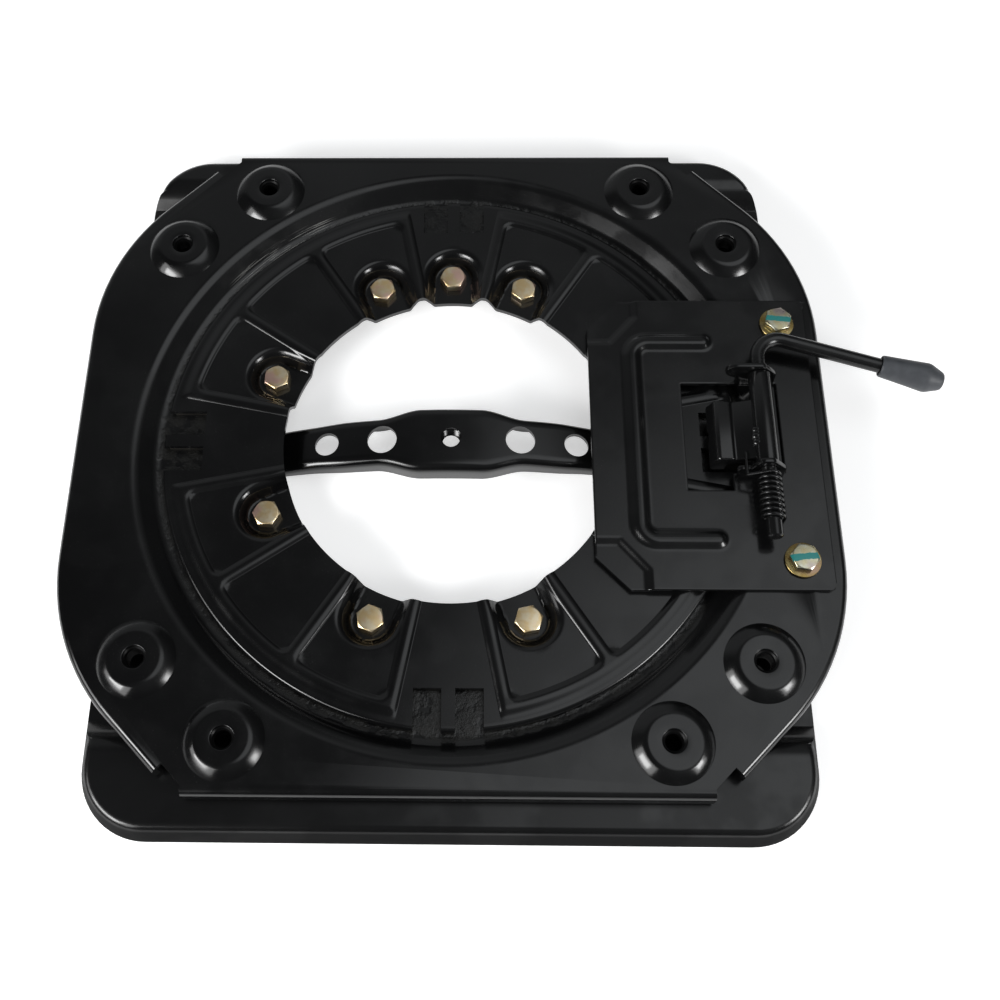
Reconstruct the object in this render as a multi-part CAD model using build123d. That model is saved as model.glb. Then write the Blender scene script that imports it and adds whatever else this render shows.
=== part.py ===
from build123d import *
import os
from math import acos, atan2, cos, degrees, hypot, radians, sin, tan

os.makedirs("parts", exist_ok=True)

# Swivel seat base, millimetres, +Z up, front at -Y, lever at +X.
# The swivel axis is the Z axis and the underside of the base is Z = 0.

# Swivel plate. The top radius of its channel sets the size of the whole part; the edges, the ring, the slides
# and the base follow at the distances named here.
channel_top_radius = 169.0
channel_wall_run = 10.5
channel_depth = 8.7
channel_bend_radius = 9.0
channel_lip = 2.0
swivel_sheet = 3.0
swivel_side_land = 33.0
swivel_end_land = 17.0
swivel_corner_length = 120.0
swivel_arc_radius = 118.0
swivel_flange = 11.0
swivel_edge_radius = 4.0
notch_inset = 6.4
notch_lip_inset = 3.9
notch_width = 10.0
seat_outer_from_side = 47.0
seat_outer_from_end = 65.5
seat_inner_from_side = 94.0
seat_inner_from_end = 26.5
boss_base_radius = 20.0
boss_flat_radius = 10.0
boss_height = 4.5
boss_hole_diameter = 11.5

# Base plate
base_sheet = 3.0
base_side_inset = 19.0
base_front_reach = 18.0
base_rear_reach = 10.0
base_corner_radius = 36.0
base_rise = 10.0
base_draft = 18.0
base_edge_radius = 5.0
base_crease_radius = 1.0
front_strip = 57.5
rear_strip = 33.5
platform_margin = 5.0
opening_margin = 7.0
base_hole_diameter = 11.0

# Slide rings and the running gap on either side of the swivel plate
slide_gap = 0.1
lower_slide_thickness = 2.4
lower_slide_inset = 9.5
lower_slide_width = 17.0
upper_slide_thickness = 2.1
upper_slide_inset = 2.5
upper_slide_width = 24.0
upper_slide_slot_margin = 0.5

# Clamp ring
ring_sheet = 3.0
ring_rim_gap = 4.0
ring_edge_radius = 2.0
ring_lip = 15.0
rib_height = 1.3
rib_base_width = 7.4
rib_top_width = 4.2
rib_arc_inset = 9.5
bolt_circle_inset = 21.0
pocket_floor_radius = 10.5
pocket_wall_run = 5.0
latch_slot_width = 14.0
latch_slot_offset = 10.4
latch_slot_depth = 21.5

# Hex chamfers of all bolts and nuts: angle, and flat circle as a share of the width across flats
hex_chamfer = 30.0
head_crown = 0.95
nut_crown = 0.97

# Ring bolts and nuts
ring_bolt_diameter = 8.0
ring_bolt_flats = 13.0
ring_bolt_head = 5.3
ring_hole_clearance = 0.5
ring_nut_flats = 13.0
ring_nut_height = 6.5
ring_bolt_tail = 0.8
thread_clearance = 0.02

# Cross strap
strap_sheet = 3.0
strap_top = 28.7
strap_arch_gap = 3.5
strap_centre_half = 18.3
strap_centre_length = 16.0
strap_neck_half = 13.3
strap_neck_start = 40.0
strap_neck_end = 55.0
strap_foot_start = 77.0
strap_foot_half = 12.5
strap_foot_lap = 25.0
strap_centre_depth = 13.0
strap_foot_depth = 7.0
strap_collar_bore = 9.5
strap_collar_radius = 6.6
strap_collar_depth = 9.0
strap_near_hole_x = 37.0
strap_near_hole = 15.7
strap_far_hole_x = 67.3
strap_far_hole = 13.0

# Seat weld nuts
seat_nut_flats = 17.0
seat_nut_height = 8.0
seat_nut_bore = 8.5

# Latch plate
latch_sheet = 2.5
latch_edge_inset = 7.5
latch_length = 120.2
latch_boss_gap = 16.5
latch_chamfer = 17.5
latch_corner_radius = 4.0
latch_drop = 1.8
latch_slope_run = 4.0
latch_drop_depth = 24.0
latch_drop_length = 24.3
latch_drop_cut_x = 12.8
latch_drop_cut_y = 14.3
bead_height = 2.3
bead_base_width = 11.0
bead_top_width = 7.0
bead_inset = 23.7
bead_arm = 39.0
bead_end_inset = 26.5
bead_corner_radius = 9.0
window_left_reach = 39.8
window_right_reach = 11.0
window_front = 30.0
window_rear = 32.0
tongue_reach = 16.0
latch_bolt_inset = 16.0
latch_bolt_end_inset = 15.5

# Latch bolts, washers and nuts
latch_bolt_diameter = 8.0
latch_bolt_flats = 13.0
latch_bolt_head = 5.3
latch_hole_clearance = 0.5
latch_washer_diameter = 18.5
latch_washer_thickness = 1.6
latch_washer_clearance = 0.2
latch_nut_flats = 13.0
latch_nut_height = 6.5
latch_bolt_tail = 1.0

# Lever shaft, ears and sleeve
shaft_inset = 31.0
shaft_height = 40.7
rod_diameter = 8.0
rod_front = 60.0
rod_corner_y = 57.0
rod_bend_radius = 12.0
rod_reach = 92.0
rod_end_chamfer = 0.8
lever_sweep = 15.2
lever_droop = 3.0
ear_thickness = 2.5
ear_front_y = 20.0
ear_tip_radius = 8.5
ear_left_reach = 15.0
ear_right_reach = 10.0
shaft_clearance = 0.05
sleeve_diameter = 12.0
sleeve_end_gap = 0.3
sleeve_fit = 0.02

# Pawl
pawl_half_width = 16.9
tooth_gap = 7.8
tooth_reach = 27.0
tooth_length = 8.0
tooth_clearance = 0.4
pawl_body_lift = 6.4
pawl_ridge_reach = 20.5
pawl_ridge_half = 3.4
pawl_ridge_height = 39.7
pawl_ridge_chamfer = 1.4
pawl_heel_rise = 2.0
pawl_toe = 1.0
pawl_heel_reach = 13.0
pawl_arm_thickness = 6.0

# Grip
grip_start = 68.5
grip_length = 33.5
grip_near_radius = 5.9
grip_wide_radius = 7.9
grip_wide_at = 24.5
grip_tip_radius = 5.0
grip_rim_chamfer = 0.5
grip_wide_land = 2.0
grip_tip_chamfer = 1.6
grip_mouth_radius = 5.0
grip_mouth_depth = 2.0
grip_fit = 0.02

# Return spring
spring_wire = 1.6
spring_inner_radius = 4.75
spring_rear = 26.0
spring_front = 50.0
spring_turns = 8
spring_rest = 0.05
spring_leg_reach = 11.0
spring_overlap = 3.0

# Plan sizes that follow from the channel: swivel plate, ring, slides, base
swivel_half_width = channel_top_radius + swivel_side_land
swivel_half_depth = channel_top_radius + swivel_end_land
swivel_side_half = swivel_half_depth - swivel_corner_length
seat_outer_x = swivel_half_width - seat_outer_from_side
seat_outer_y = swivel_half_depth - seat_outer_from_end
seat_inner_x = swivel_half_width - seat_inner_from_side
seat_inner_y = swivel_half_depth - seat_inner_from_end
channel_foot_radius = channel_top_radius - channel_wall_run
ring_outer = channel_foot_radius - ring_rim_gap
lower_slide_outer = ring_outer - lower_slide_inset
lower_slide_inner = lower_slide_outer - lower_slide_width
upper_slide_outer = ring_outer - upper_slide_inset
upper_slide_inner = upper_slide_outer - upper_slide_width
channel_inner_radius = upper_slide_inner - channel_lip
bolt_circle_radius = channel_inner_radius - bolt_circle_inset
ring_inner = bolt_circle_radius - ring_lip
rib_arc_radius = ring_outer - rib_arc_inset
latch_slot_inner = ring_outer - latch_slot_depth
platform_radius = lower_slide_outer + platform_margin
base_opening_radius = ring_inner + opening_margin
base_half_width = swivel_half_width - base_side_inset
base_front = swivel_half_depth + base_front_reach
base_rear = swivel_half_depth + base_rear_reach
front_step = base_front - front_strip
rear_step = base_rear - rear_strip
strap_foot_end = base_opening_radius + strap_foot_lap

# Plan sizes of the latch, which follow the right-hand edge of the swivel plate and its seat bosses
latch_right = swivel_half_width - latch_edge_inset
latch_left = latch_right - latch_length
latch_half_depth = seat_outer_y - boss_base_radius - latch_boss_gap
latch_drop_x = latch_left + latch_drop_length
latch_drop_y = latch_half_depth - latch_drop_depth
bead_left = latch_left + bead_inset
bead_end = bead_left + bead_arm
bead_half_depth = latch_half_depth - bead_end_inset
latch_bolt_x = latch_right - latch_bolt_inset
latch_bolt_y = latch_half_depth - latch_bolt_end_inset
shaft_x = latch_right - shaft_inset
window_left = shaft_x - window_left_reach
window_right = shaft_x + window_right_reach
tongue_left = shaft_x - tongue_reach
ear_base_left = shaft_x - ear_left_reach
ear_base_right = shaft_x + ear_right_reach
tooth_left = shaft_x - tooth_reach
pawl_ridge_x = shaft_x - pawl_ridge_reach
pawl_right = shaft_x - pawl_heel_reach

# Heights that follow from the stack of sheets and slides
platform_top = base_sheet + base_rise
channel_floor_under = platform_top + lower_slide_thickness + slide_gap
channel_floor_top = channel_floor_under + swivel_sheet
upper_slide_under = channel_floor_top + slide_gap
ring_under = upper_slide_under + upper_slide_thickness
ring_top = ring_under + ring_sheet
rib_top = ring_top + rib_height
pocket_floor_top = platform_top + ring_sheet
swivel_top = channel_floor_top + channel_depth
swivel_under = swivel_top - swivel_sheet
swivel_bottom = swivel_top - swivel_flange
boss_top = swivel_top + boss_height
latch_top = swivel_top + latch_sheet
rod_radius = rod_diameter / 2
sleeve_radius = sleeve_diameter / 2

# The nine ring bolts: one in every other sector of the ring and one at the rear
bolt_angles = [22.5 + 45 * k for k in range(8)] + [90]
bolt_points = [
    (bolt_circle_radius * cos(radians(a)), bolt_circle_radius * sin(radians(a)))
    for a in bolt_angles
]
seat_points = [
    (sx * x, sy * y)
    for x, y in ((seat_outer_x, seat_outer_y), (seat_inner_x, seat_inner_y))
    for sx in (-1, 1)
    for sy in (-1, 1)
]
latch_points = [(latch_bolt_x, -latch_bolt_y), (latch_bolt_x, latch_bolt_y)]


def upright(radius, z_low, z_high, x=0, y=0):
    """A vertical cylinder between two heights."""
    return Pos(x, y, (z_low + z_high) / 2) * Cylinder(radius, z_high - z_low)


def prism(points, z_low, z_high):
    """A vertical prism on a closed polygon."""
    face = make_face(Polyline(points, close=True))
    return extrude(Pos(0, 0, z_low) * face, z_high - z_low)


def along_y(face, y_low, y_high):
    """A face drawn as (x, z) pushed out along Y."""
    return extrude(Plane((0, y_high, 0), x_dir=(1, 0, 0), z_dir=(0, -1, 0)) * face, y_high - y_low)


def hex_nut(flats, height, bore):
    """A plain hex nut standing on z = 0, both ends chamfered."""
    body = extrude(RegularPolygon(flats / 2, 6, major_radius=False), height)
    crown = flats / 2 * nut_crown
    spread = height / tan(radians(hex_chamfer))
    body = body & Pos(0, 0, height / 2) * Cone(crown + spread, crown, height)
    body = body & Pos(0, 0, height / 2) * Cone(crown, crown + spread, height)
    return body - upright(bore / 2, -1, height + 1)


def hex_bolt(diameter, flats, head, shank):
    """A hex bolt with the underside of its head on z = 0."""
    crown = flats / 2 * head_crown
    spread = head / tan(radians(hex_chamfer))
    body = extrude(RegularPolygon(flats / 2, 6, major_radius=False), head)
    body = body & Pos(0, 0, head / 2) * Cone(crown + spread, crown, head)
    stem = upright(diameter / 2, -shank, head / 2)
    stem = chamfer(stem.edges().group_by(Axis.Z)[0], diameter / 10)
    return body + stem


# Base plate. One pressed sheet: the outline is drafted, a raised strip runs along the front and the rear,
# and a round platform of the same height carries the ring.
base_length = base_front + base_rear
base_middle = (base_rear - base_front) / 2
base_outline = Pos(0, base_middle) * RectangleRounded(2 * base_half_width, base_length, base_corner_radius)
base_hull = extrude(base_outline, platform_top, taper=base_draft)
base_hull = fillet(base_hull.faces().sort_by(Axis.Z)[-1].edges(), base_edge_radius)
far = 2 * base_length
side_line = FilletPolyline(
    (-far, -1),
    (far, -1),
    (far, platform_top + 1),
    (rear_step + base_rise + 1, platform_top + 1),
    (rear_step, base_sheet),
    (-front_step, base_sheet),
    (-front_step - base_rise - 1, platform_top + 1),
    (-far, platform_top + 1),
    radius=base_crease_radius,
    close=True,
)
side_face = Plane.YZ * make_face(side_line)
base_skin = base_hull & extrude(side_face, 2 * base_half_width, both=True)
base_skin += upright(platform_radius, 0, platform_top)
cone_foot = platform_radius + base_rise
base_skin += Pos(0, 0, base_sheet + base_rise / 2) * Cone(cone_foot, platform_radius, base_rise)

# The hollow below is the same form moved in by one sheet thickness.
draft_inset = base_sheet / cos(radians(base_draft))
hollow_outline = offset(base_outline, -draft_inset)
base_hollow = extrude(hollow_outline, base_rise, taper=base_draft)
lean = base_sheet * (2**0.5 - 1)
front_hollow = Polyline(
    (-far, -1),
    (-front_step - lean + 1, -1),
    (-front_step - lean - base_rise, base_rise),
    (-far, base_rise),
    close=True,
)
rear_hollow = Polyline(
    (far, -1),
    (rear_step + lean - 1, -1),
    (rear_step + lean + base_rise, base_rise),
    (far, base_rise),
    close=True,
)
strip_hollow = extrude(Plane.YZ * make_face(front_hollow), 2 * base_half_width, both=True)
strip_hollow += extrude(Plane.YZ * make_face(rear_hollow), 2 * base_half_width, both=True)
platform_hollow = Pos(0, 0, base_rise / 2) * Cone(
    platform_radius + base_rise - lean, platform_radius - lean, base_rise
)
base_plate = base_skin - (base_hollow & strip_hollow) - platform_hollow
base_plate -= upright(base_opening_radius, -1, platform_top + 1)
ring_hole_radius = ring_bolt_diameter / 2 + ring_hole_clearance
for x, y in bolt_points:
    base_plate -= upright(ring_hole_radius, base_rise - 1, platform_top + 1, x, y)
base_hole_radius = base_hole_diameter / 2
for sx in (-1, 1):
    for sy in (-1, 1):
        base_plate -= upright(base_hole_radius, -1, base_sheet + 1, sx * seat_outer_x, sy * seat_outer_y)

# Lower slide ring, lying on the platform.
lower_slide_ring = upright(lower_slide_outer, platform_top, platform_top + lower_slide_thickness)
lower_slide_ring -= upright(lower_slide_inner, platform_top - 1, channel_floor_under + 1)

# Clamp ring. A flat annulus with sixteen radial ribs, four arc ribs, nine U-shaped pockets that reach down to
# the platform, and four pairs of slots for the pawl.
ring_plate = upright(ring_outer, ring_under, ring_top)
ring_plate = fillet(ring_plate.edges().group_by(Axis.Z)[-1], ring_edge_radius)
rib_sink = 0.5
rib_low = ring_top - rib_sink
rib_half = rib_base_width / 2 + rib_sink * (rib_base_width - rib_top_width) / 2 / rib_height
rib_section = make_face(
    Polyline(
        (-rib_half, rib_low),
        (rib_half, rib_low),
        (rib_top_width / 2, rib_top),
        (-rib_top_width / 2, rib_top),
        close=True,
    )
)
ribs = []
for k in range(16):
    rib = extrude(Plane.YZ * rib_section, rib_arc_radius - ring_inner + 2)
    ribs.append(Rot(0, 0, 11.25 + 22.5 * k) * Pos(ring_inner - 2, 0, 0) * rib)
for k in range(4):
    arc_rib = revolve(Plane.XZ * Pos(rib_arc_radius, 0) * rib_section, Axis.Z, 67.5)
    ribs.append(Rot(0, 0, 11.25 + 90 * k) * arc_rib)
rib_web = Part() + ribs
ring_plate += rib_web
ring_plate -= Pos(0, 0, -ring_sheet) * rib_web

pocket_depth = ring_top - pocket_floor_top
pocket_slope = pocket_wall_run / pocket_depth
wall_offset = ring_sheet * (1 + pocket_slope**2) ** 0.5
shell_floor_radius = pocket_floor_radius + wall_offset - ring_sheet * pocket_slope
shell_rim_radius = shell_floor_radius + (ring_under - platform_top) * pocket_slope
rim_high = rib_top + 0.5
rim_radius = pocket_floor_radius + (rim_high - pocket_floor_top) * pocket_slope


def pocket(floor_radius, floor_z, top_radius, top_z):
    """A U-shaped tapered block around a bolt on +X, open towards the axis."""
    height = top_z - floor_z
    nose = Pos(bolt_circle_radius, 0, floor_z + height / 2) * Cone(floor_radius, top_radius, height)
    section = Polyline(
        (-floor_radius, floor_z),
        (floor_radius, floor_z),
        (top_radius, top_z),
        (-top_radius, top_z),
        close=True,
    )
    reach = bolt_circle_radius - ring_inner + 5
    tail = Pos(ring_inner - 5, 0, 0) * extrude(Plane.YZ * make_face(section), reach)
    return nose + tail


pocket_shell = pocket(shell_floor_radius, platform_top, shell_rim_radius, ring_under)
pocket_void = pocket(pocket_floor_radius, pocket_floor_top, rim_radius, rim_high)
clamp_ring = ring_plate
for a in bolt_angles:
    clamp_ring += Rot(0, 0, a) * pocket_shell
for a in bolt_angles:
    clamp_ring -= Rot(0, 0, a) * pocket_void
clamp_ring -= upright(ring_inner, -1, rib_top + 1)
for x, y in bolt_points:
    clamp_ring -= upright(ring_hole_radius, platform_top - 1, pocket_floor_top + 1, x, y)
slot_length = ring_outer + 10 - latch_slot_inner
latch_slot = Box(slot_length, latch_slot_width, 3 * ring_sheet)
for a in (0, 90, 180, 270):
    for side in (-1, 1):
        place = Pos(latch_slot_inner + slot_length / 2, side * latch_slot_offset, ring_top)
        clamp_ring -= Rot(0, 0, a) * place * latch_slot

# Upper slide ring, held under the clamp ring and notched for the pawl teeth.
upper_slide_ring = upright(upper_slide_outer, upper_slide_under, ring_under)
upper_slide_ring -= upright(upper_slide_inner, upper_slide_under - 1, ring_under + 1)
slide_slot = Box(
    slot_length, latch_slot_width + 2 * upper_slide_slot_margin, 3 * upper_slide_thickness
)
for a in (0, 90, 180, 270):
    for side in (-1, 1):
        place = Pos(
            latch_slot_inner - upper_slide_slot_margin + slot_length / 2, side * latch_slot_offset, ring_under
        )
        upper_slide_ring -= Rot(0, 0, a) * place * slide_slot

# Ring bolts and nuts.
ring_bolt_length = ring_sheet + base_sheet + ring_nut_height + ring_bolt_tail
ring_bolt = hex_bolt(ring_bolt_diameter, ring_bolt_flats, ring_bolt_head, ring_bolt_length)
ring_nut = hex_nut(ring_nut_flats, ring_nut_height, ring_bolt_diameter + 2 * thread_clearance)
ring_bolts = [
    Pos(x, y, pocket_floor_top) * Rot(0, 0, a) * ring_bolt
    for (x, y), a in zip(bolt_points, bolt_angles)
]
ring_nuts = [
    Pos(x, y, base_rise - ring_nut_height) * Rot(0, 0, a) * ring_nut
    for (x, y), a in zip(bolt_points, bolt_angles)
]

# Cross strap. An arched channel, open below, whose feet lie against the underside of the platform.
arch_end = base_opening_radius - strap_arch_gap
strap_half_outline = [
    (0, strap_centre_half),
    (strap_centre_length, strap_centre_half),
    (strap_neck_start, strap_neck_half),
    (strap_neck_end, strap_neck_half),
    (strap_foot_start, strap_foot_half),
    (strap_foot_end, strap_foot_half),
]


def strap_prism(inset, overrun, z_low, z_high):
    """The strap's plan outline, moved in by inset and run past the ends by overrun, as a prism."""
    quarter = [(x, y - inset) for x, y in strap_half_outline]
    quarter[-1] = (strap_foot_end + overrun, strap_foot_half - inset)
    right = quarter + [(x, -y) for x, y in reversed(quarter)]
    left = [(-x, -y) for x, y in quarter[1:]] + [(-x, y) for x, y in reversed(quarter[1:])]
    return prism(right + left, z_low, z_high)


def strap_side(drop, low_centre, low_foot, reach):
    """The strap's side view between its arched top, lowered by drop, and a lower arch."""
    top_arc = ThreePointArc(
        (-arch_end, base_rise - drop), (0, strap_top - drop), (arch_end, base_rise - drop)
    )
    low_arc = ThreePointArc((arch_end, low_foot), (0, low_centre), (-arch_end, low_foot))
    right_end = Polyline(
        (arch_end, base_rise - drop), (reach, base_rise - drop), (reach, low_foot), (arch_end, low_foot)
    )
    left_end = Polyline(
        (-arch_end, low_foot), (-reach, low_foot), (-reach, base_rise - drop), (-arch_end, base_rise - drop)
    )
    return make_face([top_arc, right_end, low_arc, left_end])


strap_low_centre = strap_top - strap_centre_depth
strap_low_foot = base_rise - strap_foot_depth
strap_body = strap_prism(0, 0, -1, strap_top + 1)
strap_body &= along_y(
    strap_side(0, strap_low_centre, strap_low_foot, strap_foot_end),
    -strap_centre_half - 1,
    strap_centre_half + 1,
)
strap_void = strap_prism(strap_sheet, 5, -20, strap_top + 1)
strap_void &= along_y(
    strap_side(strap_sheet, strap_low_centre - 15, strap_low_foot - 15, strap_foot_end + 5),
    -strap_centre_half - 1,
    strap_centre_half + 1,
)
cross_strap = strap_body - strap_void
collar_low = strap_top - strap_collar_depth
cross_strap += upright(strap_collar_radius, collar_low, strap_top - strap_sheet / 2)
cross_strap -= upright(strap_collar_bore / 2, collar_low - 1, strap_top + 1)
for side in (-1, 1):
    cross_strap -= upright(strap_near_hole / 2, 12, strap_top + 1, side * strap_near_hole_x)
    cross_strap -= upright(strap_far_hole / 2, 8, strap_top + 1, side * strap_far_hole_x)

# Swivel plate. A flat pressing with a down-turned edge, open at the four corners, eight seat bosses and a
# round channel that steps down under the clamp ring.
arc_x = swivel_half_width - swivel_arc_radius
arc_end_x = arc_x + swivel_arc_radius * cos(radians(45))
arc_end_y = swivel_side_half + swivel_arc_radius * sin(radians(45))
diagonal_sum = arc_end_x + arc_end_y
corner_x = diagonal_sum - swivel_half_depth
quarter_edge = [
    Line((swivel_half_width, 0), (swivel_half_width, swivel_side_half)),
    CenterArc((arc_x, swivel_side_half), swivel_arc_radius, 0, 45),
    Line((arc_end_x, arc_end_y), (corner_x, swivel_half_depth)),
    Line((corner_x, swivel_half_depth), (0, swivel_half_depth)),
]
half_edge = quarter_edge + [mirror(e, Plane.XZ) for e in quarter_edge]
full_edge = half_edge + [mirror(e, Plane.YZ) for e in half_edge]
swivel_outline = make_face(full_edge)
swivel_body = extrude(Pos(0, 0, swivel_bottom) * swivel_outline, swivel_flange)
swivel_body = fillet(swivel_body.faces().sort_by(Axis.Z)[-1].edges(), swivel_edge_radius)
swivel_inside = offset(swivel_outline, -swivel_sheet, kind=Kind.INTERSECTION)
swivel_body -= extrude(Pos(0, 0, swivel_bottom) * swivel_inside, swivel_flange - swivel_sheet)

notch_sum = diagonal_sum - notch_inset * 2**0.5
notch_lip = corner_x - notch_lip_inset
notch_x = notch_lip + notch_width
notch = prism(
    [
        (notch_x, notch_sum - notch_x),
        (notch_lip, notch_sum - notch_lip),
        (notch_lip, swivel_half_depth + 10),
        (notch_x + 20, swivel_half_depth + 10),
        (notch_x + 16, notch_sum - notch_x + 16),
    ],
    swivel_bottom - 1,
    swivel_top + 1,
)
for part_notch in (notch, mirror(notch, Plane.YZ)):
    swivel_body -= part_notch
    swivel_body -= mirror(part_notch, Plane.XZ)

channel_angle = degrees(atan2(channel_depth, channel_top_radius - channel_foot_radius))
channel_shift = swivel_sheet * tan(radians(channel_angle / 2))
channel_rim = channel_top_radius + 4
channel_upper = FilletPolyline(
    (channel_rim, swivel_top),
    (channel_top_radius, swivel_top),
    (channel_foot_radius, channel_floor_top),
    (channel_inner_radius, channel_floor_top),
    radius=channel_bend_radius,
)
channel_lower = Polyline(
    (channel_inner_radius, channel_floor_top),
    (channel_inner_radius, channel_floor_under),
    (channel_foot_radius + channel_shift, channel_floor_under),
    (channel_top_radius + channel_shift, swivel_under),
    (channel_rim, swivel_under),
    (channel_rim, swivel_top),
)
channel = revolve(Plane.XZ * make_face([channel_upper, channel_lower]), Axis.Z)
swivel_body -= upright(channel_rim - 1, swivel_bottom, swivel_top + 1)
swivel_body += channel

# Each boss is a dome: one arc from the crisp base edge to the flat around the hole, in even sheet.
boss_run = boss_base_radius - boss_flat_radius
boss_turn = 2 * atan2(boss_height, boss_run)
dome_radius = boss_run / sin(boss_turn)
dome_centre = boss_top - dome_radius
under_radius = dome_radius - swivel_sheet
under_turn = acos(1 - boss_height / under_radius)
boss_rim = boss_base_radius + 1.6
boss_hole_radius = boss_hole_diameter / 2


def dome_point(radius, turn):
    """A point of the boss section, on an arc about the dome's centre."""
    return (boss_flat_radius + radius * sin(turn), dome_centre + radius * cos(turn))


dome_upper = ThreePointArc(
    dome_point(dome_radius, boss_turn), dome_point(dome_radius, boss_turn / 2), dome_point(dome_radius, 0)
)
dome_lower = ThreePointArc(
    dome_point(under_radius, 0), dome_point(under_radius, under_turn / 2), dome_point(under_radius, under_turn)
)
boss_bore = Polyline(
    dome_point(dome_radius, 0),
    (boss_hole_radius, boss_top),
    (boss_hole_radius, boss_top - swivel_sheet),
    dome_point(under_radius, 0),
)
boss_foot = Polyline(
    dome_point(under_radius, under_turn),
    (boss_rim, swivel_under),
    (boss_rim, swivel_top),
    dome_point(dome_radius, boss_turn),
)
boss = revolve(Plane.XZ * make_face([dome_upper, boss_bore, dome_lower, boss_foot]), Axis.Z)
for x, y in seat_points:
    swivel_body -= upright(boss_rim - 0.5, swivel_under - 1, swivel_top + 1, x, y)
    swivel_body += Pos(x, y, 0) * boss
latch_hole_radius = latch_bolt_diameter / 2 + latch_hole_clearance
for x, y in latch_points:
    swivel_body -= upright(latch_hole_radius, swivel_under - 1, swivel_top + 1, x, y)
swivel_plate = swivel_body

# Seat weld nuts, one under each boss.
seat_nut = hex_nut(seat_nut_flats, seat_nut_height, seat_nut_bore)
seat_nut_bottom = boss_top - swivel_sheet - seat_nut_height
seat_nuts = [Pos(x, y, seat_nut_bottom) * seat_nut for x, y in seat_points]

# Latch plate. A flat sheet bolted on the swivel plate. Two corners are lowered, a C-shaped bead stiffens it,
# and two ears stand up at the window to carry the lever shaft.
latch_outline = [
    (latch_left, -latch_half_depth + latch_chamfer),
    (latch_left + latch_chamfer, -latch_half_depth),
    (latch_right, -latch_half_depth),
    (latch_right, latch_half_depth),
    (latch_left + latch_chamfer, latch_half_depth),
    (latch_left, latch_half_depth - latch_chamfer),
]
latch_sheet_body = prism(latch_outline, swivel_top, latch_top)
right_edges = latch_sheet_body.edges().filter_by(Axis.Z).group_by(Axis.X)[-1]
latch_sheet_body = fillet(right_edges, latch_corner_radius)

low_points = [
    (latch_left - 10, latch_drop_y),
    (latch_drop_x - latch_drop_cut_x, latch_drop_y),
    (latch_drop_x, latch_drop_y + latch_drop_cut_y),
    (latch_drop_x, latch_half_depth + 10),
    (latch_left - 10, latch_half_depth + 10),
]
low_outline = make_face(Polyline(low_points, close=True))
high_outline = offset(low_outline, latch_slope_run, kind=Kind.INTERSECTION)
low_face = Pos(0, 0, latch_top - latch_drop) * low_outline
high_face = Pos(0, 0, latch_top) * high_outline
corner_drop = loft([low_face, high_face], ruled=True)
corner_keep = Pos(0, 0, -latch_sheet) * corner_drop & prism(
    latch_outline, swivel_top - latch_drop - 1, latch_top
)
latch_sheet_body += corner_keep
latch_sheet_body += mirror(corner_keep, Plane.XZ)
latch_sheet_body -= corner_drop
latch_sheet_body -= mirror(corner_drop, Plane.XZ)

bead_path = FilletPolyline(
    (bead_end, -bead_half_depth),
    (bead_left, -bead_half_depth),
    (bead_left, bead_half_depth),
    (bead_end, bead_half_depth),
    radius=bead_corner_radius,
)
bead_sink = 0.4
bead_half = bead_base_width / 2 + bead_sink * (bead_base_width - bead_top_width) / 2 / bead_height
bead_section = Polyline(
    (-bead_half, -bead_sink),
    (bead_half, -bead_sink),
    (bead_top_width / 2, bead_height),
    (-bead_top_width / 2, bead_height),
    close=True,
)
bead_plane = Plane((bead_end, -bead_half_depth, latch_top), x_dir=(0, 1, 0), z_dir=(1, 0, 0))
bead = sweep(bead_plane * make_face(bead_section), Pos(0, 0, latch_top) * bead_path)
latch_sheet_body += bead
latch_sheet_body -= Pos(0, 0, -latch_sheet) * bead

latch_sheet_body -= prism(
    [
        (window_left, -window_front),
        (tongue_left, -window_front),
        (tongue_left, -ear_front_y),
        (window_right, -ear_front_y),
        (window_right, window_rear),
        (window_left, window_rear),
    ],
    swivel_top - 5,
    latch_top + 5,
)
ear_outline = make_hull(
    (Pos(shaft_x, shaft_height) * Circle(ear_tip_radius)).edges()
    + Line((ear_base_left, swivel_top), (ear_base_right, swivel_top)).edges()
)
ear_bore_radius = rod_radius + shaft_clearance
ear_face = ear_outline - Pos(shaft_x, shaft_height) * Circle(ear_bore_radius)
latch_sheet_body += along_y(ear_face, window_rear, window_rear + ear_thickness)
latch_sheet_body += along_y(ear_face, -ear_front_y - ear_thickness, -ear_front_y)
for x, y in latch_points:
    latch_sheet_body -= upright(latch_hole_radius, swivel_top - 1, latch_top + 1, x, y)
latch_plate = latch_sheet_body

# Latch bolts, washers and nuts.
latch_bolt_seat = latch_top + latch_washer_thickness
latch_bolt_length = (
    latch_washer_thickness + latch_sheet + swivel_sheet + latch_nut_height + latch_bolt_tail
)
latch_bolt = hex_bolt(latch_bolt_diameter, latch_bolt_flats, latch_bolt_head, latch_bolt_length)
latch_nut = hex_nut(latch_nut_flats, latch_nut_height, latch_bolt_diameter + 2 * thread_clearance)
latch_washer = upright(latch_washer_diameter / 2, 0, latch_washer_thickness)
latch_washer -= upright(latch_bolt_diameter / 2 + latch_washer_clearance, -1, latch_washer_thickness + 1)
latch_bolts = [Pos(x, y, latch_bolt_seat) * latch_bolt for x, y in latch_points]
latch_washers = [Pos(x, y, latch_top) * latch_washer for x, y in latch_points]
latch_nuts = [Pos(x, y, swivel_under - latch_nut_height) * latch_nut for x, y in latch_points]

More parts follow.
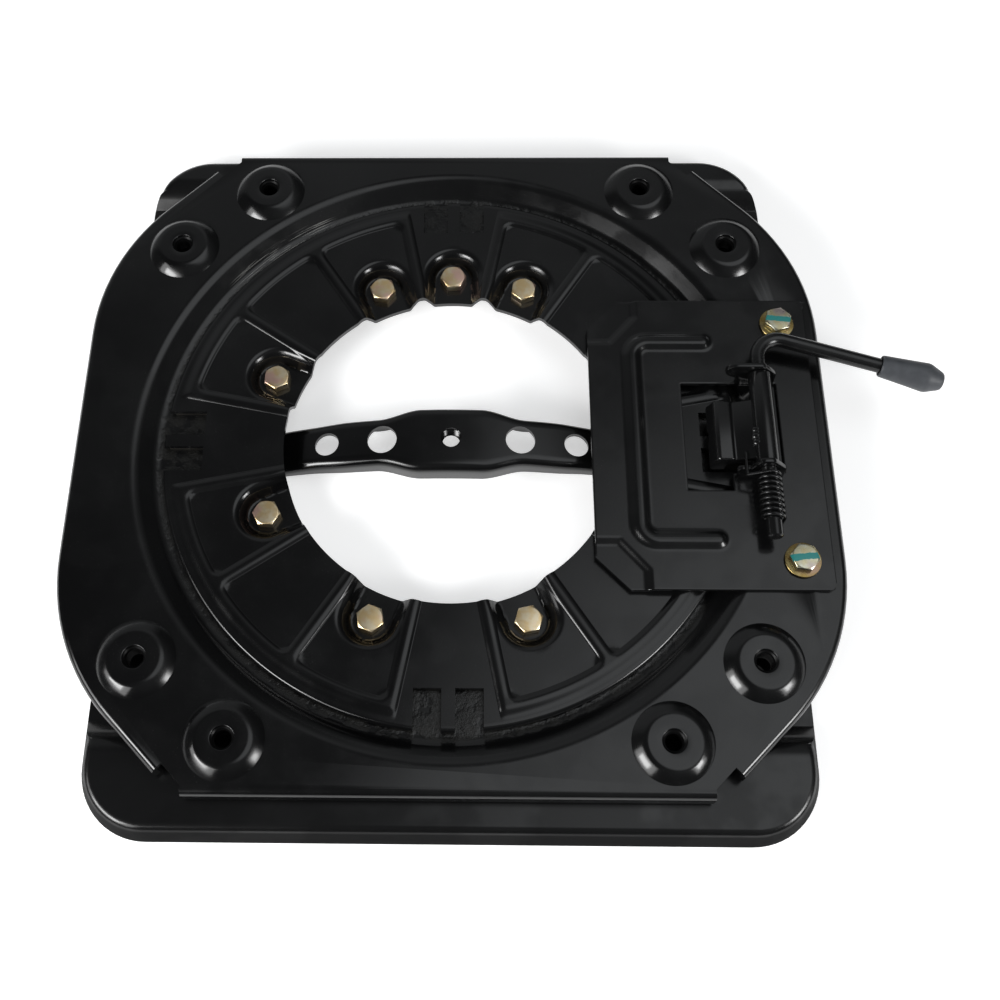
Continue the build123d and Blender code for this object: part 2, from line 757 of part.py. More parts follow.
# Lever rod: the straight shaft runs along Y through both ears, then the bar turns back and out to the right.
lever_dir = Vector(
    cos(radians(lever_droop)) * cos(radians(lever_sweep)),
    -cos(radians(lever_droop)) * sin(radians(lever_sweep)),
    -sin(radians(lever_droop)),
)
rod_corner = Vector(shaft_x, rod_corner_y, shaft_height)
rod_start = Vector(shaft_x, -rod_front, shaft_height)
rod_path = FilletPolyline(
    rod_start, rod_corner, rod_corner + lever_dir * rod_reach, radius=rod_bend_radius
)
rod_section = Plane(rod_start, x_dir=(1, 0, 0), z_dir=(0, 1, 0)) * Circle(rod_radius)
lever_rod = sweep(rod_section, rod_path)
lever_rod = chamfer(lever_rod.edges().group_by(Axis.Y)[0], rod_end_chamfer)

# Sleeve on the shaft between the ears.
sleeve_low = -ear_front_y + sleeve_end_gap
sleeve_high = window_rear - sleeve_end_gap
sleeve_face = Pos(shaft_x, shaft_height) * (Circle(sleeve_radius) - Circle(rod_radius + sleeve_fit))
pawl_sleeve = along_y(sleeve_face, sleeve_low, sleeve_high)

# Pawl: a block with a rounded ridge, two teeth below it, and an arm that is welded to the sleeve. At rest the
# teeth are lifted just clear of the ribs of the clamp ring.
tooth_bottom = rib_top + tooth_clearance
pawl_low = tooth_bottom + pawl_body_lift
tooth_right = tooth_left + tooth_length
pawl_outline = make_face(
    Polyline(
        (tooth_left, tooth_bottom),
        (tooth_right, tooth_bottom),
        (tooth_right, pawl_low),
        (pawl_right, pawl_low + pawl_heel_rise),
        (shaft_x, shaft_height - pawl_arm_thickness / 2),
        (shaft_x, shaft_height + pawl_arm_thickness / 2),
        (pawl_ridge_x + pawl_ridge_half + pawl_ridge_chamfer, pawl_ridge_height - pawl_ridge_chamfer),
        (pawl_ridge_x + pawl_ridge_half, pawl_ridge_height),
        (pawl_ridge_x - pawl_ridge_half, pawl_ridge_height),
        (pawl_ridge_x - pawl_ridge_half - pawl_ridge_chamfer, pawl_ridge_height - pawl_ridge_chamfer),
        (tooth_left - pawl_toe, pawl_low),
        close=True,
    )
)
pawl = along_y(pawl_outline, -pawl_half_width, pawl_half_width)
pawl -= Pos(tooth_left + tooth_length / 2, 0, tooth_bottom - 1) * Box(
    3 * tooth_length, tooth_gap, 2 * (pawl_body_lift + 1), align=(Align.CENTER, Align.CENTER, Align.CENTER)
)
pawl -= along_y(Pos(shaft_x, shaft_height) * Circle(sleeve_radius), -pawl_half_width - 1, pawl_half_width + 1)

# Grip: turned plastic on the end of the rod, with an open mouth around the rod.
grip_bore = rod_radius + grip_fit
grip_profile = make_face(
    Polyline(
        (grip_bore, rod_reach - grip_start),
        (grip_bore, grip_mouth_depth),
        (grip_mouth_radius, grip_mouth_depth),
        (grip_mouth_radius, 0),
        (grip_near_radius - grip_rim_chamfer, 0),
        (grip_near_radius, grip_rim_chamfer),
        (grip_wide_radius, grip_wide_at - grip_wide_land / 2),
        (grip_wide_radius, grip_wide_at + grip_wide_land / 2),
        (grip_tip_radius, grip_length - grip_tip_chamfer),
        (grip_tip_radius - grip_tip_chamfer, grip_length),
        (0, grip_length),
        (0, rod_reach - grip_start),
        close=True,
    )
)
grip_plane = Plane(rod_corner + lever_dir * grip_start, z_dir=lever_dir)
lever_grip = grip_plane * revolve(Plane.XZ * grip_profile, Axis.Z)

# Return spring: a torsion coil on the front end of the shaft, made of tilted half turns that run on smoothly
# from one to the next. Its rear leg passes over the ear and lies on the arm of the pawl, its front leg stands
# on the latch plate.
wire_radius = spring_wire / 2
coil_radius = spring_inner_radius + wire_radius
coil_length = spring_front - spring_rear
half_rise = coil_length / (2 * spring_turns)
turn_tilt = degrees(atan2(half_rise, 2 * coil_radius))
turn_radius = hypot(coil_radius, half_rise / 2)
half_turn = revolve(Plane.XZ * Pos(turn_radius, 0) * Circle(wire_radius), Axis.Z, 180)
last_quarter = revolve(Plane.XZ * Pos(coil_radius, 0) * Circle(wire_radius), Axis.Z, 90)
coil = Pos(0, 0, coil_length) * Rot(0, 0, -90) * last_quarter
for k in range(2 * spring_turns):
    if k % 2:
        turn = Rot(0, -turn_tilt, 0) * half_turn
    else:
        turn = Rot(0, turn_tilt, 0) * Rot(0, 0, 180) * half_turn
    coil += Pos(0, 0, (k + 0.5) * half_rise) * turn
coil = Plane((shaft_x, -spring_front, shaft_height), x_dir=(1, 0, 0), z_dir=(0, 1, 0)) * coil


def wire(start, end):
    """A straight length of spring wire with rounded ends."""
    run = Vector(*end) - Vector(*start)
    bar = extrude(Plane(start, z_dir=run) * Circle(wire_radius), run.length)
    return bar + Pos(*start) * Sphere(wire_radius) + Pos(*end) * Sphere(wire_radius)


arm_low_x = pawl_ridge_x + pawl_ridge_half + pawl_ridge_chamfer
arm_low_z = pawl_ridge_height - pawl_ridge_chamfer
arm_rise = shaft_height + pawl_arm_thickness / 2 - arm_low_z
arm_slope = atan2(arm_rise, shaft_x - arm_low_x)
leg_x = shaft_x - spring_leg_reach
leg_height = arm_low_z + (leg_x - arm_low_x) * tan(arm_slope) + (wire_radius + spring_rest) / cos(arm_slope)
leg_top = (shaft_x, -spring_rear, shaft_height + coil_radius)
leg_knee = (leg_x, -spring_rear, leg_height)
leg_tip = (leg_x, -pawl_half_width + spring_overlap, leg_height)
foot_top = (shaft_x + coil_radius, -spring_front, shaft_height)
foot_tip = (shaft_x + coil_radius, -spring_front, latch_top + wire_radius + spring_rest)
return_spring = coil + wire(leg_top, leg_knee) + wire(leg_knee, leg_tip) + wire(foot_top, foot_tip)

nodes = {
    "base_plate": base_plate,
    "lower_slide_ring": lower_slide_ring,
    "clamp_ring": clamp_ring,
    "upper_slide_ring": upper_slide_ring,
    "ring_bolts": Compound(children=ring_bolts),
    "ring_nuts": Compound(children=ring_nuts),
    "cross_strap": cross_strap,
    "swivel_plate": swivel_plate,
    "seat_nuts": Compound(children=seat_nuts),
    "latch_plate": latch_plate,
    "latch_bolts": Compound(children=latch_bolts),
    "latch_washers": Compound(children=latch_washers),
    "latch_nuts": Compound(children=latch_nuts),
    "lever_rod": lever_rod,
    "pawl_sleeve": pawl_sleeve,
    "pawl": pawl,
    "lever_grip": lever_grip,
    "return_spring": return_spring,
}
for name, shape in nodes.items():
    export_step(shape, f"parts/{name}.step")
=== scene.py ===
import math

import bmesh
import bpy
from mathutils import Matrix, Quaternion, Vector


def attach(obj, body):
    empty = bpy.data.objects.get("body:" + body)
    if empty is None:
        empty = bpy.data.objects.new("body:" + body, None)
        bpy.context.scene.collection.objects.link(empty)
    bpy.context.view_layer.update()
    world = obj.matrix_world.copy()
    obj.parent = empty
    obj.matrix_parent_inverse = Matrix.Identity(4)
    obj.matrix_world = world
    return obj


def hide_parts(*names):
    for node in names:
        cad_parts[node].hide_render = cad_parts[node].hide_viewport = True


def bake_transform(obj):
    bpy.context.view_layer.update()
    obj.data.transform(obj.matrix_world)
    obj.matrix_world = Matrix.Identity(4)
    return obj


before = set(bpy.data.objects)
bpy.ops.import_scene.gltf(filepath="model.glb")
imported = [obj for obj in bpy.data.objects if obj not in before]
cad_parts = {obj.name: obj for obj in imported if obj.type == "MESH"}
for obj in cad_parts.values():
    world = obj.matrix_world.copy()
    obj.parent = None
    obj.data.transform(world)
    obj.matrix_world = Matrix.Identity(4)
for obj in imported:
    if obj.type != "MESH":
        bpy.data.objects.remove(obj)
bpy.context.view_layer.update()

# Base plate: the lower pressing, 3 mm steel sheet with a raised strip at the front and rear and a round
# platform. It was drawn and pierced in one tool, then dipped in black paint. It lies on the seat box and
# carries the rest.
mm = 0.001


def let_go():
    """Leave nothing selected."""
    bpy.ops.object.select_all(action="DESELECT")


def take_hold(piece):
    """Leave piece selected alone, and active."""
    let_go()
    piece.select_set(True)
    bpy.context.view_layer.objects.active = piece


def apply_modifier(piece, kind, **settings):
    """Add a modifier to piece, set it and apply it."""
    take_hold(piece)
    bpy.ops.object.modifier_add(type=kind)
    modifier = piece.modifiers[-1]
    for name, value in settings.items():
        setattr(modifier, name, value)
    bpy.ops.object.modifier_apply(modifier=modifier.name)


def edit(piece):
    """Open piece in edit mode with everything selected."""
    take_hold(piece)
    bpy.ops.object.mode_set(mode="EDIT")
    bpy.ops.mesh.select_mode(type="VERT")
    bpy.ops.mesh.select_all(action="SELECT")


def close_edit():
    bpy.ops.object.mode_set(mode="OBJECT")


def smooth(piece, degrees):
    """Smooth shading, with edges sharper than this angle left hard."""
    take_hold(piece)
    bpy.ops.object.shade_smooth_by_angle(angle=math.radians(degrees))


def settle(piece):
    """Put the place, turn and scale of piece into its mesh."""
    take_hold(piece)
    bpy.ops.object.transform_apply(location=True, rotation=True, scale=True)


def bevel_edges(piece, width, segments, degrees):
    """Round the edges of piece that are sharper than this angle."""
    limit = math.radians(degrees)
    apply_modifier(piece, "BEVEL", width=width, segments=segments, limit_method="ANGLE", angle_limit=limit)


def even_sheet(piece):
    """Shade a pressed sheet smoothly, with its flats left flat."""
    smooth(piece, 32)
    apply_modifier(piece, "WEIGHTED_NORMAL", keep_sharp=True, weight=60)


def sheet_from_cad(node, name, edge):
    """A merged copy of a CAD sheet, its cut edges broken by the paint film."""
    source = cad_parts[node]
    piece = bpy.data.objects.new(name, source.data.copy())
    bpy.context.scene.collection.objects.link(piece)
    piece.matrix_world = source.matrix_world.copy()
    settle(piece)
    edit(piece)
    bpy.ops.mesh.remove_doubles(threshold=0.02 * mm)
    bpy.ops.mesh.customdata_custom_splitnormals_clear()
    bpy.ops.mesh.dissolve_limited(angle_limit=math.radians(0.3))
    close_edit()
    bevel_edges(piece, edge, 2, 40)
    even_sheet(piece)
    return piece


def add_node(tree, kind, **inputs):
    """Add a shader node. Names of inputs are given with _ for a space; numbers are passed as i0, i1."""
    node = tree.nodes.new(kind)
    for name, value in inputs.items():
        if name[0] == "i" and name[1:].isdigit():
            socket = node.inputs[int(name[1:])]
        else:
            socket = node.inputs[name.replace("_", " ")]
        if isinstance(value, bpy.types.NodeSocket):
            tree.links.new(value, socket)
        else:
            socket.default_value = value
    return node


def math_node(tree, operation, first, second=0.5):
    node = add_node(tree, "ShaderNodeMath", i0=first, i1=second)
    node.operation = operation
    return node.outputs[0]


def times(tree, first, second):
    return math_node(tree, "MULTIPLY", first, second)


def plus(tree, first, second):
    return math_node(tree, "ADD", first, second)


def surface_place(tree):
    """The place of a point on the piece, from which the patterns are made."""
    return tree.nodes.new("ShaderNodeTexCoord").outputs["Object"]


def noise(tree, place, scale, detail, roughness=0.5):
    """A cloudy pattern of values over the surface."""
    node = add_node(tree, "ShaderNodeTexNoise", Vector=place, Scale=scale, Detail=detail, Roughness=roughness)
    return node.outputs[0]


def mix_colour(tree, factor, first, second):
    node = tree.nodes.new("ShaderNodeMix")
    node.data_type = "RGBA"
    for socket, value in ((node.inputs[0], factor), (node.inputs[6], first), (node.inputs[7], second)):
        if isinstance(value, bpy.types.NodeSocket):
            tree.links.new(value, socket)
        else:
            socket.default_value = value
    return node.outputs[2]


def step_up(tree, value, low, high):
    """A smooth step of value from 0 at low to 1 at high."""
    node = add_node(tree, "ShaderNodeMapRange", Value=value, From_Min=low, From_Max=high)
    node.interpolation_type = "SMOOTHSTEP"
    return node.outputs[0]


def group_of(name, inputs, outputs):
    """A new shader group with float or colour sockets."""
    tree = bpy.data.node_groups.new(name, "ShaderNodeTree")
    for label, value in inputs:
        kind = "NodeSocketColor" if isinstance(value, tuple) else "NodeSocketFloat"
        tree.interface.new_socket(label, in_out="INPUT", socket_type=kind).default_value = value
    for label, kind in outputs:
        tree.interface.new_socket(label, in_out="OUTPUT", socket_type=kind)
    return tree, tree.nodes.new("NodeGroupInput"), tree.nodes.new("NodeGroupOutput")


film, film_in, film_out = group_of(
    "dip_film",
    [("Colour", (0.012, 0.012, 0.013, 1)), ("Roughness", 0.3)],
    [
        ("Colour", "NodeSocketColor"), ("Roughness", "NodeSocketFloat"), ("Height", "NodeSocketFloat"),
        ("Gloss", "NodeSocketFloat"),
    ],
)
film_place = surface_place(film)
clouds = noise(film, film_place, 14.0, 4.0)
stains = noise(film, film_place, 38.0, 3.0)
peel = noise(film, film_place, 620.0, 1.5)
specks = noise(film, film_place, 1500.0, 2.0)
dust = times(film, step_up(film, specks, 0.66, 0.78), 0.5)
haze = step_up(film, clouds, 0.35, 0.7)
shade = mix_colour(film, haze, film_in.outputs["Colour"], (0.005, 0.0051, 0.0053, 1))
shade = mix_colour(film, times(film, dust, 0.12), shade, (0.1, 0.1, 0.095, 1))
film.links.new(shade, film_out.inputs["Colour"])
spread = times(film, math_node(film, "SUBTRACT", clouds, 0.5), 0.12)
spread = plus(film, spread, film_in.outputs["Roughness"])
spread = plus(film, spread, times(film, dust, 0.25))
patches = plus(film, times(film, step_up(film, stains, 0.4, 0.58), 0.3), 0.7)
stained = times(film, math_node(film, "SUBTRACT", 0.85, patches), 0.25)
film.links.new(plus(film, spread, stained), film_out.inputs["Roughness"])
film.links.new(peel, film_out.inputs["Height"])
film.links.new(patches, film_out.inputs["Gloss"])


def bare_material(name):
    material = bpy.data.materials.new(name)
    material.use_nodes = True
    return material, material.node_tree, material.node_tree.nodes["Principled BSDF"]


def bump(tree, shader, height, depth):
    """Drive the shader's normal by a height map of this depth in metres."""
    node = add_node(tree, "ShaderNodeBump", Height=height, Strength=1.0, Distance=depth)
    tree.links.new(node.outputs[0], shader.inputs["Normal"])


peel_depth = 0.004 * mm


def coat(name, colour, roughness, shine=0.5):
    """Black dip paint over steel."""
    material, tree, shader = bare_material(name)
    node = tree.nodes.new("ShaderNodeGroup")
    node.node_tree = film
    node.name = "film"
    node.inputs["Colour"].default_value = colour
    node.inputs["Roughness"].default_value = roughness
    shader.inputs["Specular IOR Level"].default_value = shine
    tree.links.new(node.outputs["Colour"], shader.inputs["Base Color"])
    tree.links.new(node.outputs["Roughness"], shader.inputs["Roughness"])
    bump(tree, shader, node.outputs["Height"], peel_depth)
    return material


def dress(piece, material, body, slot, *nodes):
    """Give piece its material and its body, and hide the CAD nodes it stands for; slot is not used."""
    piece.data.materials.clear()
    piece.data.materials.append(material)
    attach(piece, body)
    if nodes:
        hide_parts(*nodes)


base_coat = coat("base_coat", (0.0035, 0.0035, 0.0037, 1), 0.5, shine=0.02)
base_tree = base_coat.node_tree
# Painted shade: the base coat has almost no shine of its own, and its gloss coat fades out as the faces grow
# steep, so the walls of the base come out dull and dark.
base_way = base_tree.nodes.new("ShaderNodeTexCoord").outputs["Normal"]
base_up = add_node(base_tree, "ShaderNodeSeparateXYZ", Vector=base_way).outputs["Z"]
walls_shaded_gloss = times(base_tree, base_tree.nodes["film"].outputs["Gloss"], step_up(base_tree, base_up, 0.3, 0.8))
base_shader = base_tree.nodes["Principled BSDF"]
base_tree.links.new(walls_shaded_gloss, base_shader.inputs["Coat Weight"])
base_shader.inputs["Coat Roughness"].default_value = 0.2
base_plate = sheet_from_cad("base_plate", "base_pressing", 0.5 * mm)
rear_fold, front_fold = 172.49 * mm, -156.49 * mm
roll_radius, roll_cuts, full_roll_height = 18.0 * mm, 12, 8.0 * mm
roll_width = roll_radius * math.sin(math.radians(45))
for fold, way in ((rear_fold, 1), (front_fold, -1)):
    crest = fold + way * roll_radius * math.tan(math.radians(22.5))
    edit(base_plate)
    for step in range(roll_cuts + 1):
        bpy.ops.mesh.select_all(action="SELECT")
        bpy.ops.mesh.bisect(
            plane_co=(0, crest - way * roll_width * step / roll_cuts, 0), plane_no=(0, 1, 0)
        )
    close_edit()
    for point in base_plate.data.vertices:
        across = (crest - point.co.y) * way
        if 0 < across < roll_width:
            folded = -max(0, (fold - point.co.y) * way)
            rolled = math.sqrt(roll_radius**2 - across**2) - roll_radius
            point.co.z += (rolled - folded) * min(1, max(0, point.co.z) / full_roll_height)
even_sheet(base_plate)
dress(base_plate, base_coat, "base", "black_coat", "base_plate")

# Slide rings: two flat rings of greased plastic, one below and one above the floor of the swivel channel.
# They are stamped from sheet, and the clamp ring holds them; only their edges show in the latch slots.
plastic, plastic_tree, plastic_shader = bare_material("slide_plastic")
plastic_place = surface_place(plastic_tree)
smear = noise(plastic_tree, plastic_place, 60.0, 5.0)
smear_mask = step_up(plastic_tree, smear, 0.4, 0.65)
smear_tint = mix_colour(plastic_tree, smear_mask, (0.022, 0.02, 0.016, 1), (0.01, 0.009, 0.007, 1))
plastic_tree.links.new(smear_tint, plastic_shader.inputs["Base Color"])
smear_gloss = math_node(plastic_tree, "SUBTRACT", 0.5, times(plastic_tree, smear_mask, 0.25))
plastic_tree.links.new(smear_gloss, plastic_shader.inputs["Roughness"])


def paint_node(node, material):
    """Give a CAD node that is carried over its material."""
    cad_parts[node].data.materials.clear()
    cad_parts[node].data.materials.append(material)


for node in ("lower_slide_ring", "upper_slide_ring"):
    paint_node(node, plastic)

# Swivel plate: the upper pressing, 3 mm steel sheet with a down-turned edge, eight seat bosses and a round
# channel that runs between the slide rings. It was drawn, pierced and dipped in black paint, and the channel
# is packed with grease.
swivel_coat = coat("swivel_coat", (0.0028, 0.0028, 0.003, 1), 0.18)
swivel_tree = swivel_coat.node_tree
swivel_shader = swivel_tree.nodes["Principled BSDF"]
swivel_film = swivel_tree.nodes["film"]
swivel_place = surface_place(swivel_tree)
swivel_axes = add_node(swivel_tree, "ShaderNodeSeparateXYZ", Vector=swivel_place)
flat = swivel_tree.nodes.new("ShaderNodeVectorMath")
flat.operation = "MULTIPLY"
flat.inputs[1].default_value = (1, 1, 0)
swivel_tree.links.new(swivel_place, flat.inputs[0])
from_axis = swivel_tree.nodes.new("ShaderNodeVectorMath")
from_axis.operation = "LENGTH"
swivel_tree.links.new(flat.outputs[0], from_axis.inputs[0])
radius = from_axis.outputs["Value"]


def step_down(tree, value, low, high):
    """A smooth step of value from 1 at low to 0 at high."""
    return math_node(tree, "SUBTRACT", 1.0, step_up(tree, value, low, high))


in_channel = step_down(swivel_tree, radius, 156.5 * mm, 160.0 * mm)
lumps = noise(swivel_tree, swivel_place, 620.0, 5.0, roughness=0.65)
ridges = noise(swivel_tree, swivel_place, 150.0, 3.0)
grease = times(swivel_tree, in_channel, step_up(swivel_tree, ridges, 0.36, 0.55))
round_angle = math_node(swivel_tree, "ARCTAN2", swivel_axes.outputs["Y"], swivel_axes.outputs["X"])
rub_along, rub_across = times(swivel_tree, round_angle, 6.0), times(swivel_tree, radius, 2400.0)
rub = add_node(swivel_tree, "ShaderNodeCombineXYZ", X=rub_along, Y=rub_across).outputs[0]
streaks = noise(swivel_tree, rub, 1.0, 2.0)
streaks = step_up(swivel_tree, streaks, 0.58, 0.64)
for limit in (
    step_up(swivel_tree, radius, 156.5 * mm, 157.5 * mm),
    step_down(swivel_tree, radius, 162.0 * mm, 163.5 * mm),
    step_up(swivel_tree, round_angle, 2.0, 2.1),
    step_down(swivel_tree, round_angle, 2.42, 2.5),
):
    streaks = times(swivel_tree, streaks, limit)
greased = mix_colour(swivel_tree, grease, swivel_film.outputs["Colour"], (0.008, 0.0078, 0.0072, 1))
greased = mix_colour(swivel_tree, streaks, greased, (0.2, 0.2, 0.19, 1))
swivel_tree.links.new(greased, swivel_shader.inputs["Base Color"])
paint_height = times(swivel_tree, swivel_film.outputs["Height"], 0.012)
grease_height = times(swivel_tree, times(swivel_tree, lumps, grease), 0.9)
bump(swivel_tree, swivel_shader, plus(swivel_tree, paint_height, grease_height), 0.25 * mm)


def just_added(name):
    """The primitive that was just added, named, with its place in its mesh."""
    piece = bpy.context.object
    piece.name = name
    settle(piece)
    return piece


def weld(pieces):
    """Join pieces into the first of them."""
    let_go()
    for piece in pieces:
        piece.select_set(True)
    bpy.context.view_layer.objects.active = pieces[0]
    bpy.ops.object.join()
    return bpy.context.object


def cut_away(piece, cutters, operation="DIFFERENCE"):
    """Join the cutters, cut piece with them and throw them away."""
    cutter = weld(cutters) if len(cutters) > 1 else cutters[0]
    apply_modifier(piece, "BOOLEAN", operation=operation, solver="EXACT", object=cutter)
    bpy.data.objects.remove(cutter)


def drill(x, y, radius, low, high, sides=64):
    """A vertical cylinder to cut with."""
    let_go()
    bpy.ops.mesh.primitive_cylinder_add(
        vertices=sides, radius=radius, depth=high - low, location=(x, y, (low + high) / 2)
    )
    return just_added("drill")


def arc(out, up, radius, start, end, count):
    """Points of an arc in a section; angles in degrees from straight up, positive outwards."""
    turns = [math.radians(start + (end - start) * k / count) for k in range(count + 1)]
    return [(out + radius * math.sin(turn), up + radius * math.cos(turn)) for turn in turns]


def close_outwards():
    """Turn all faces outwards and leave edit mode."""
    bpy.ops.mesh.select_all(action="SELECT")
    bpy.ops.mesh.normals_make_consistent(inside=False)
    close_edit()


def lathe(name, section, steps):
    """Turn a closed section of (radius, height) points in millimetres once round the Z axis."""
    let_go()
    bpy.ops.mesh.primitive_circle_add(vertices=len(section), radius=1 * mm)
    piece = just_added(name)
    for vertex, (out, up) in zip(piece.data.vertices, section):
        vertex.co = (out * mm, 0, up * mm)
    edit(piece)
    bpy.ops.mesh.spin(steps=steps, angle=2 * math.pi, center=(0, 0, 0), axis=(0, 0, 1))
    bpy.ops.mesh.select_all(action="SELECT")
    bpy.ops.mesh.remove_doubles(threshold=0.002 * mm)
    close_outwards()
    smooth(piece, 30)
    return piece


def copies(piece, places):
    """Repeat piece, a mesh about the Z axis, at (x, y, turn) places with own meshes, joined as one."""
    made = []
    for x, y, turn in places:
        take_hold(piece)
        bpy.ops.object.duplicate()
        twin = bpy.context.object
        twin.location = (x, y, 0)
        twin.rotation_euler = (0, 0, turn)
        settle(twin)
        made.append(twin)
    bpy.data.objects.remove(piece)
    return weld(made)


seat_x, seat_y = 155.0 * mm, 120.5 * mm
inner_x, inner_y = 108.0 * mm, 159.5 * mm
seat_places = [
    (sx * x, sy * y, 0.0)
    for x, y in ((seat_x, seat_y), (inner_x, inner_y))
    for sx in (-1, 1)
    for sy in (-1, 1)
]
# The turned sections of the channel and of the bosses are in millimetres.
plate_top, plate_under = 27.2, 24.2
channel_rim, channel_top, channel_under, channel_bore, channel_sides = 172.3, 18.5, 15.5, 126.0, 320
dome_foot, dome_top, dome_hole, dome_sides = 20.15, 31.7, 5.75, 96
cut_low, cut_high = 5.0 * mm, 45.0 * mm
swivel_plate = sheet_from_cad("swivel_plate", "swivel_pressing", 0.5 * mm)
cut_away(swivel_plate, [drill(0, 0, channel_rim * mm, cut_low, cut_high, channel_sides)])
cut_away(
    swivel_plate, [drill(x, y, dome_foot * mm, cut_low, cut_high, dome_sides) for x, y, turn in seat_places]
)
smooth(swivel_plate, 32)
channel = lathe(
    "channel",
    [(channel_rim, plate_top)] + arc(172.244, 18.2, 9.0, 0, -39.645, 16)
    + arc(155.256, 27.5, 9.0, 140.355, 180, 16)
    + [(150.0, channel_top), (138.0, channel_top), (channel_bore, channel_top), (channel_bore, channel_under)]
    + [(159.58, channel_under), (170.08, plate_under), (channel_rim, plate_under)],
    channel_sides,
)
dome = lathe(
    "dome",
    [(dome_foot, plate_top)] + arc(2.73, 9.246, 25.0, 44.1, 30, 14) + arc(12.23, 25.7, 6.0, 30, 0, 12)
    + [(9.0, dome_top)] + arc(dome_hole + 0.5, dome_top - 0.5, 0.5, 0, -90, 5) + [(dome_hole, 28.7)]
    + arc(12.23, 25.7, 3.0, 0, 30, 5) + arc(2.73, 9.246, 22.0, 30, 47, 8) + [(dome_foot, plate_under)],
    dome_sides,
)
swivel_plate = weld([swivel_plate, channel, copies(dome, seat_places)])
dress(swivel_plate, swivel_coat, "swivel", "black_coat", "swivel_plate")

# Seat nuts: eight M10 hex weld nuts of steel under the bosses, welded before dipping, so they are black too.
# The top of each thread shows in the boss hole, as a short coil of a V-shaped ridge.
nut_top = 28.7 * mm
thread_bore, thread_crest, thread_pitch, thread_steps = 5.78 * mm, 4.95 * mm, 1.5 * mm, 28


def wind(outline, turns, rise, steps):
    """Wind an outline up along the Z axis."""
    apply_modifier(
        outline, "SCREW", axis="Z", angle=turns * 2 * math.pi, screw_offset=rise, steps=steps,
        render_steps=steps, use_normal_calculate=True,
    )


def thread(name, bore, crest, pitch, low, high):
    """An inner thread about the Z axis: the outer radius bore, the inner radius crest."""
    let_go()
    bpy.ops.mesh.primitive_circle_add(vertices=3, radius=pitch / 2, rotation=(math.pi / 2, 0, 0))
    ridge = just_added(name)
    corners = ((bore, -0.45 * pitch), (crest, 0.0), (bore, 0.45 * pitch))
    for vertex, (out, up) in zip(ridge.data.vertices, corners):
        vertex.co = (out, 0, low + up)
    turns = (high - low) / pitch
    wind(ridge, turns, high - low, int(thread_steps * turns))
    edit(ridge)
    close_outwards()
    smooth(ridge, 25)
    return ridge


# Painted shade: the nuts and the thread tops get a darker, duller black than the dip paint of the plates,
# which stands in for the shade down in the boss holes.
nut_coat_hole_shade = coat("nut_coat_hole_shade", (0.002, 0.002, 0.002, 1), 0.5, shine=0.05)
seat_thread = thread(
    "seat_threads", thread_bore, thread_crest, thread_pitch, nut_top + 0.3 * mm, nut_top + 1.9 * mm
)
seat_threads = copies(seat_thread, seat_places)
seat_threads.name = "seat_threads"
thread_coat_hole_shade = coat("thread_coat_hole_shade", (0.002, 0.002, 0.002, 1), 0.35, shine=0.12)
dress(seat_threads, thread_coat_hole_shade, "swivel", "black_nut")
paint_node("seat_nuts", nut_coat_hole_shade)

# Clamp ring: 3 mm steel sheet pressed into sixteen radial ribs, four arc ribs and nine U-shaped pockets,
# which are drawn down to the platform and bolted to it. Four pairs of latch slots were pierced after
# forming. It is dipped in black paint like the plates.
ring_top = 23.7 * mm
ring_inner, ring_outer = 90.0 * mm, 154.5 * mm
rib_height, rib_foot, rib_fullness, panel_corner = 1.3 * mm, 3.7 * mm, 2.6, 3.5 * mm
arc_rib, arc_rib_fall = 145.0 * mm, 5.5 * mm
pocket_circle, pocket_floor, pocket_run, pocket_depth = 105.0 * mm, 10.1 * mm, 7.2 * mm, 7.7 * mm
pocket_round, ring_roll, ring_sheet = 0.2, 2.0 * mm, 2.95 * mm
rib_count, sector_lines = 16, 45
rib_sector = math.radians(360 / rib_count)
bolt_turns = [math.radians(22.5 + 45 * k) for k in range(8)] + [math.radians(90)]

ring_radii = [90.0 + 0.85 * k for k in range(39)]
ring_radii += [124.5, 127.0, 129.5, 132.0, 134.0, 136.0, 137.8, 139.5, 141.1]
ring_radii += [141.3, 141.8, 142.4, 143.1, 144.0, 145.0, 146.0, 147.0, 148.0, 149.0, 150.0, 151.2]
ring_radii += [152.5 + 2.0 * math.sin(math.radians(a)) for a in (0, 18, 36, 54, 72, 90)]
ring_radii = [r * mm for r in ring_radii]
rib_lines = [-3.9, -3.7, -3.2, -2.6, -1.9, -1.0, 0.0, 1.0, 1.9, 2.6, 3.2, 3.7, 3.9]
ring_lines = rib_count * sector_lines
let_go()
bpy.ops.mesh.primitive_circle_add(vertices=ring_lines, radius=ring_inner, location=(0, 0, ring_top))
ring = just_added("clamp_ring_pressing")
edit(ring)
bpy.ops.mesh.extrude_region_move()
widen = ring_outer / ring_inner
bpy.ops.transform.resize(value=(widen, widen, 1), center_override=(0, 0, ring_top))
mesh = bmesh.from_edit_mesh(ring.data)
for edge in mesh.edges:
    ends = [vertex.co.xy.length for vertex in edge.verts]
    edge.select_set(abs(ends[0] - ends[1]) > 1 * mm)
bmesh.update_edit_mesh(ring.data)
bpy.ops.mesh.select_mode(type="EDGE")
bpy.ops.mesh.subdivide(number_cuts=len(ring_radii) - 2)
close_outwards()


def ease(value, low, high):
    """0 below low, 1 above high, smooth between."""
    share = min(max((value - low) / (high - low), 0.0), 1.0)
    return share * share * (3 - 2 * share)


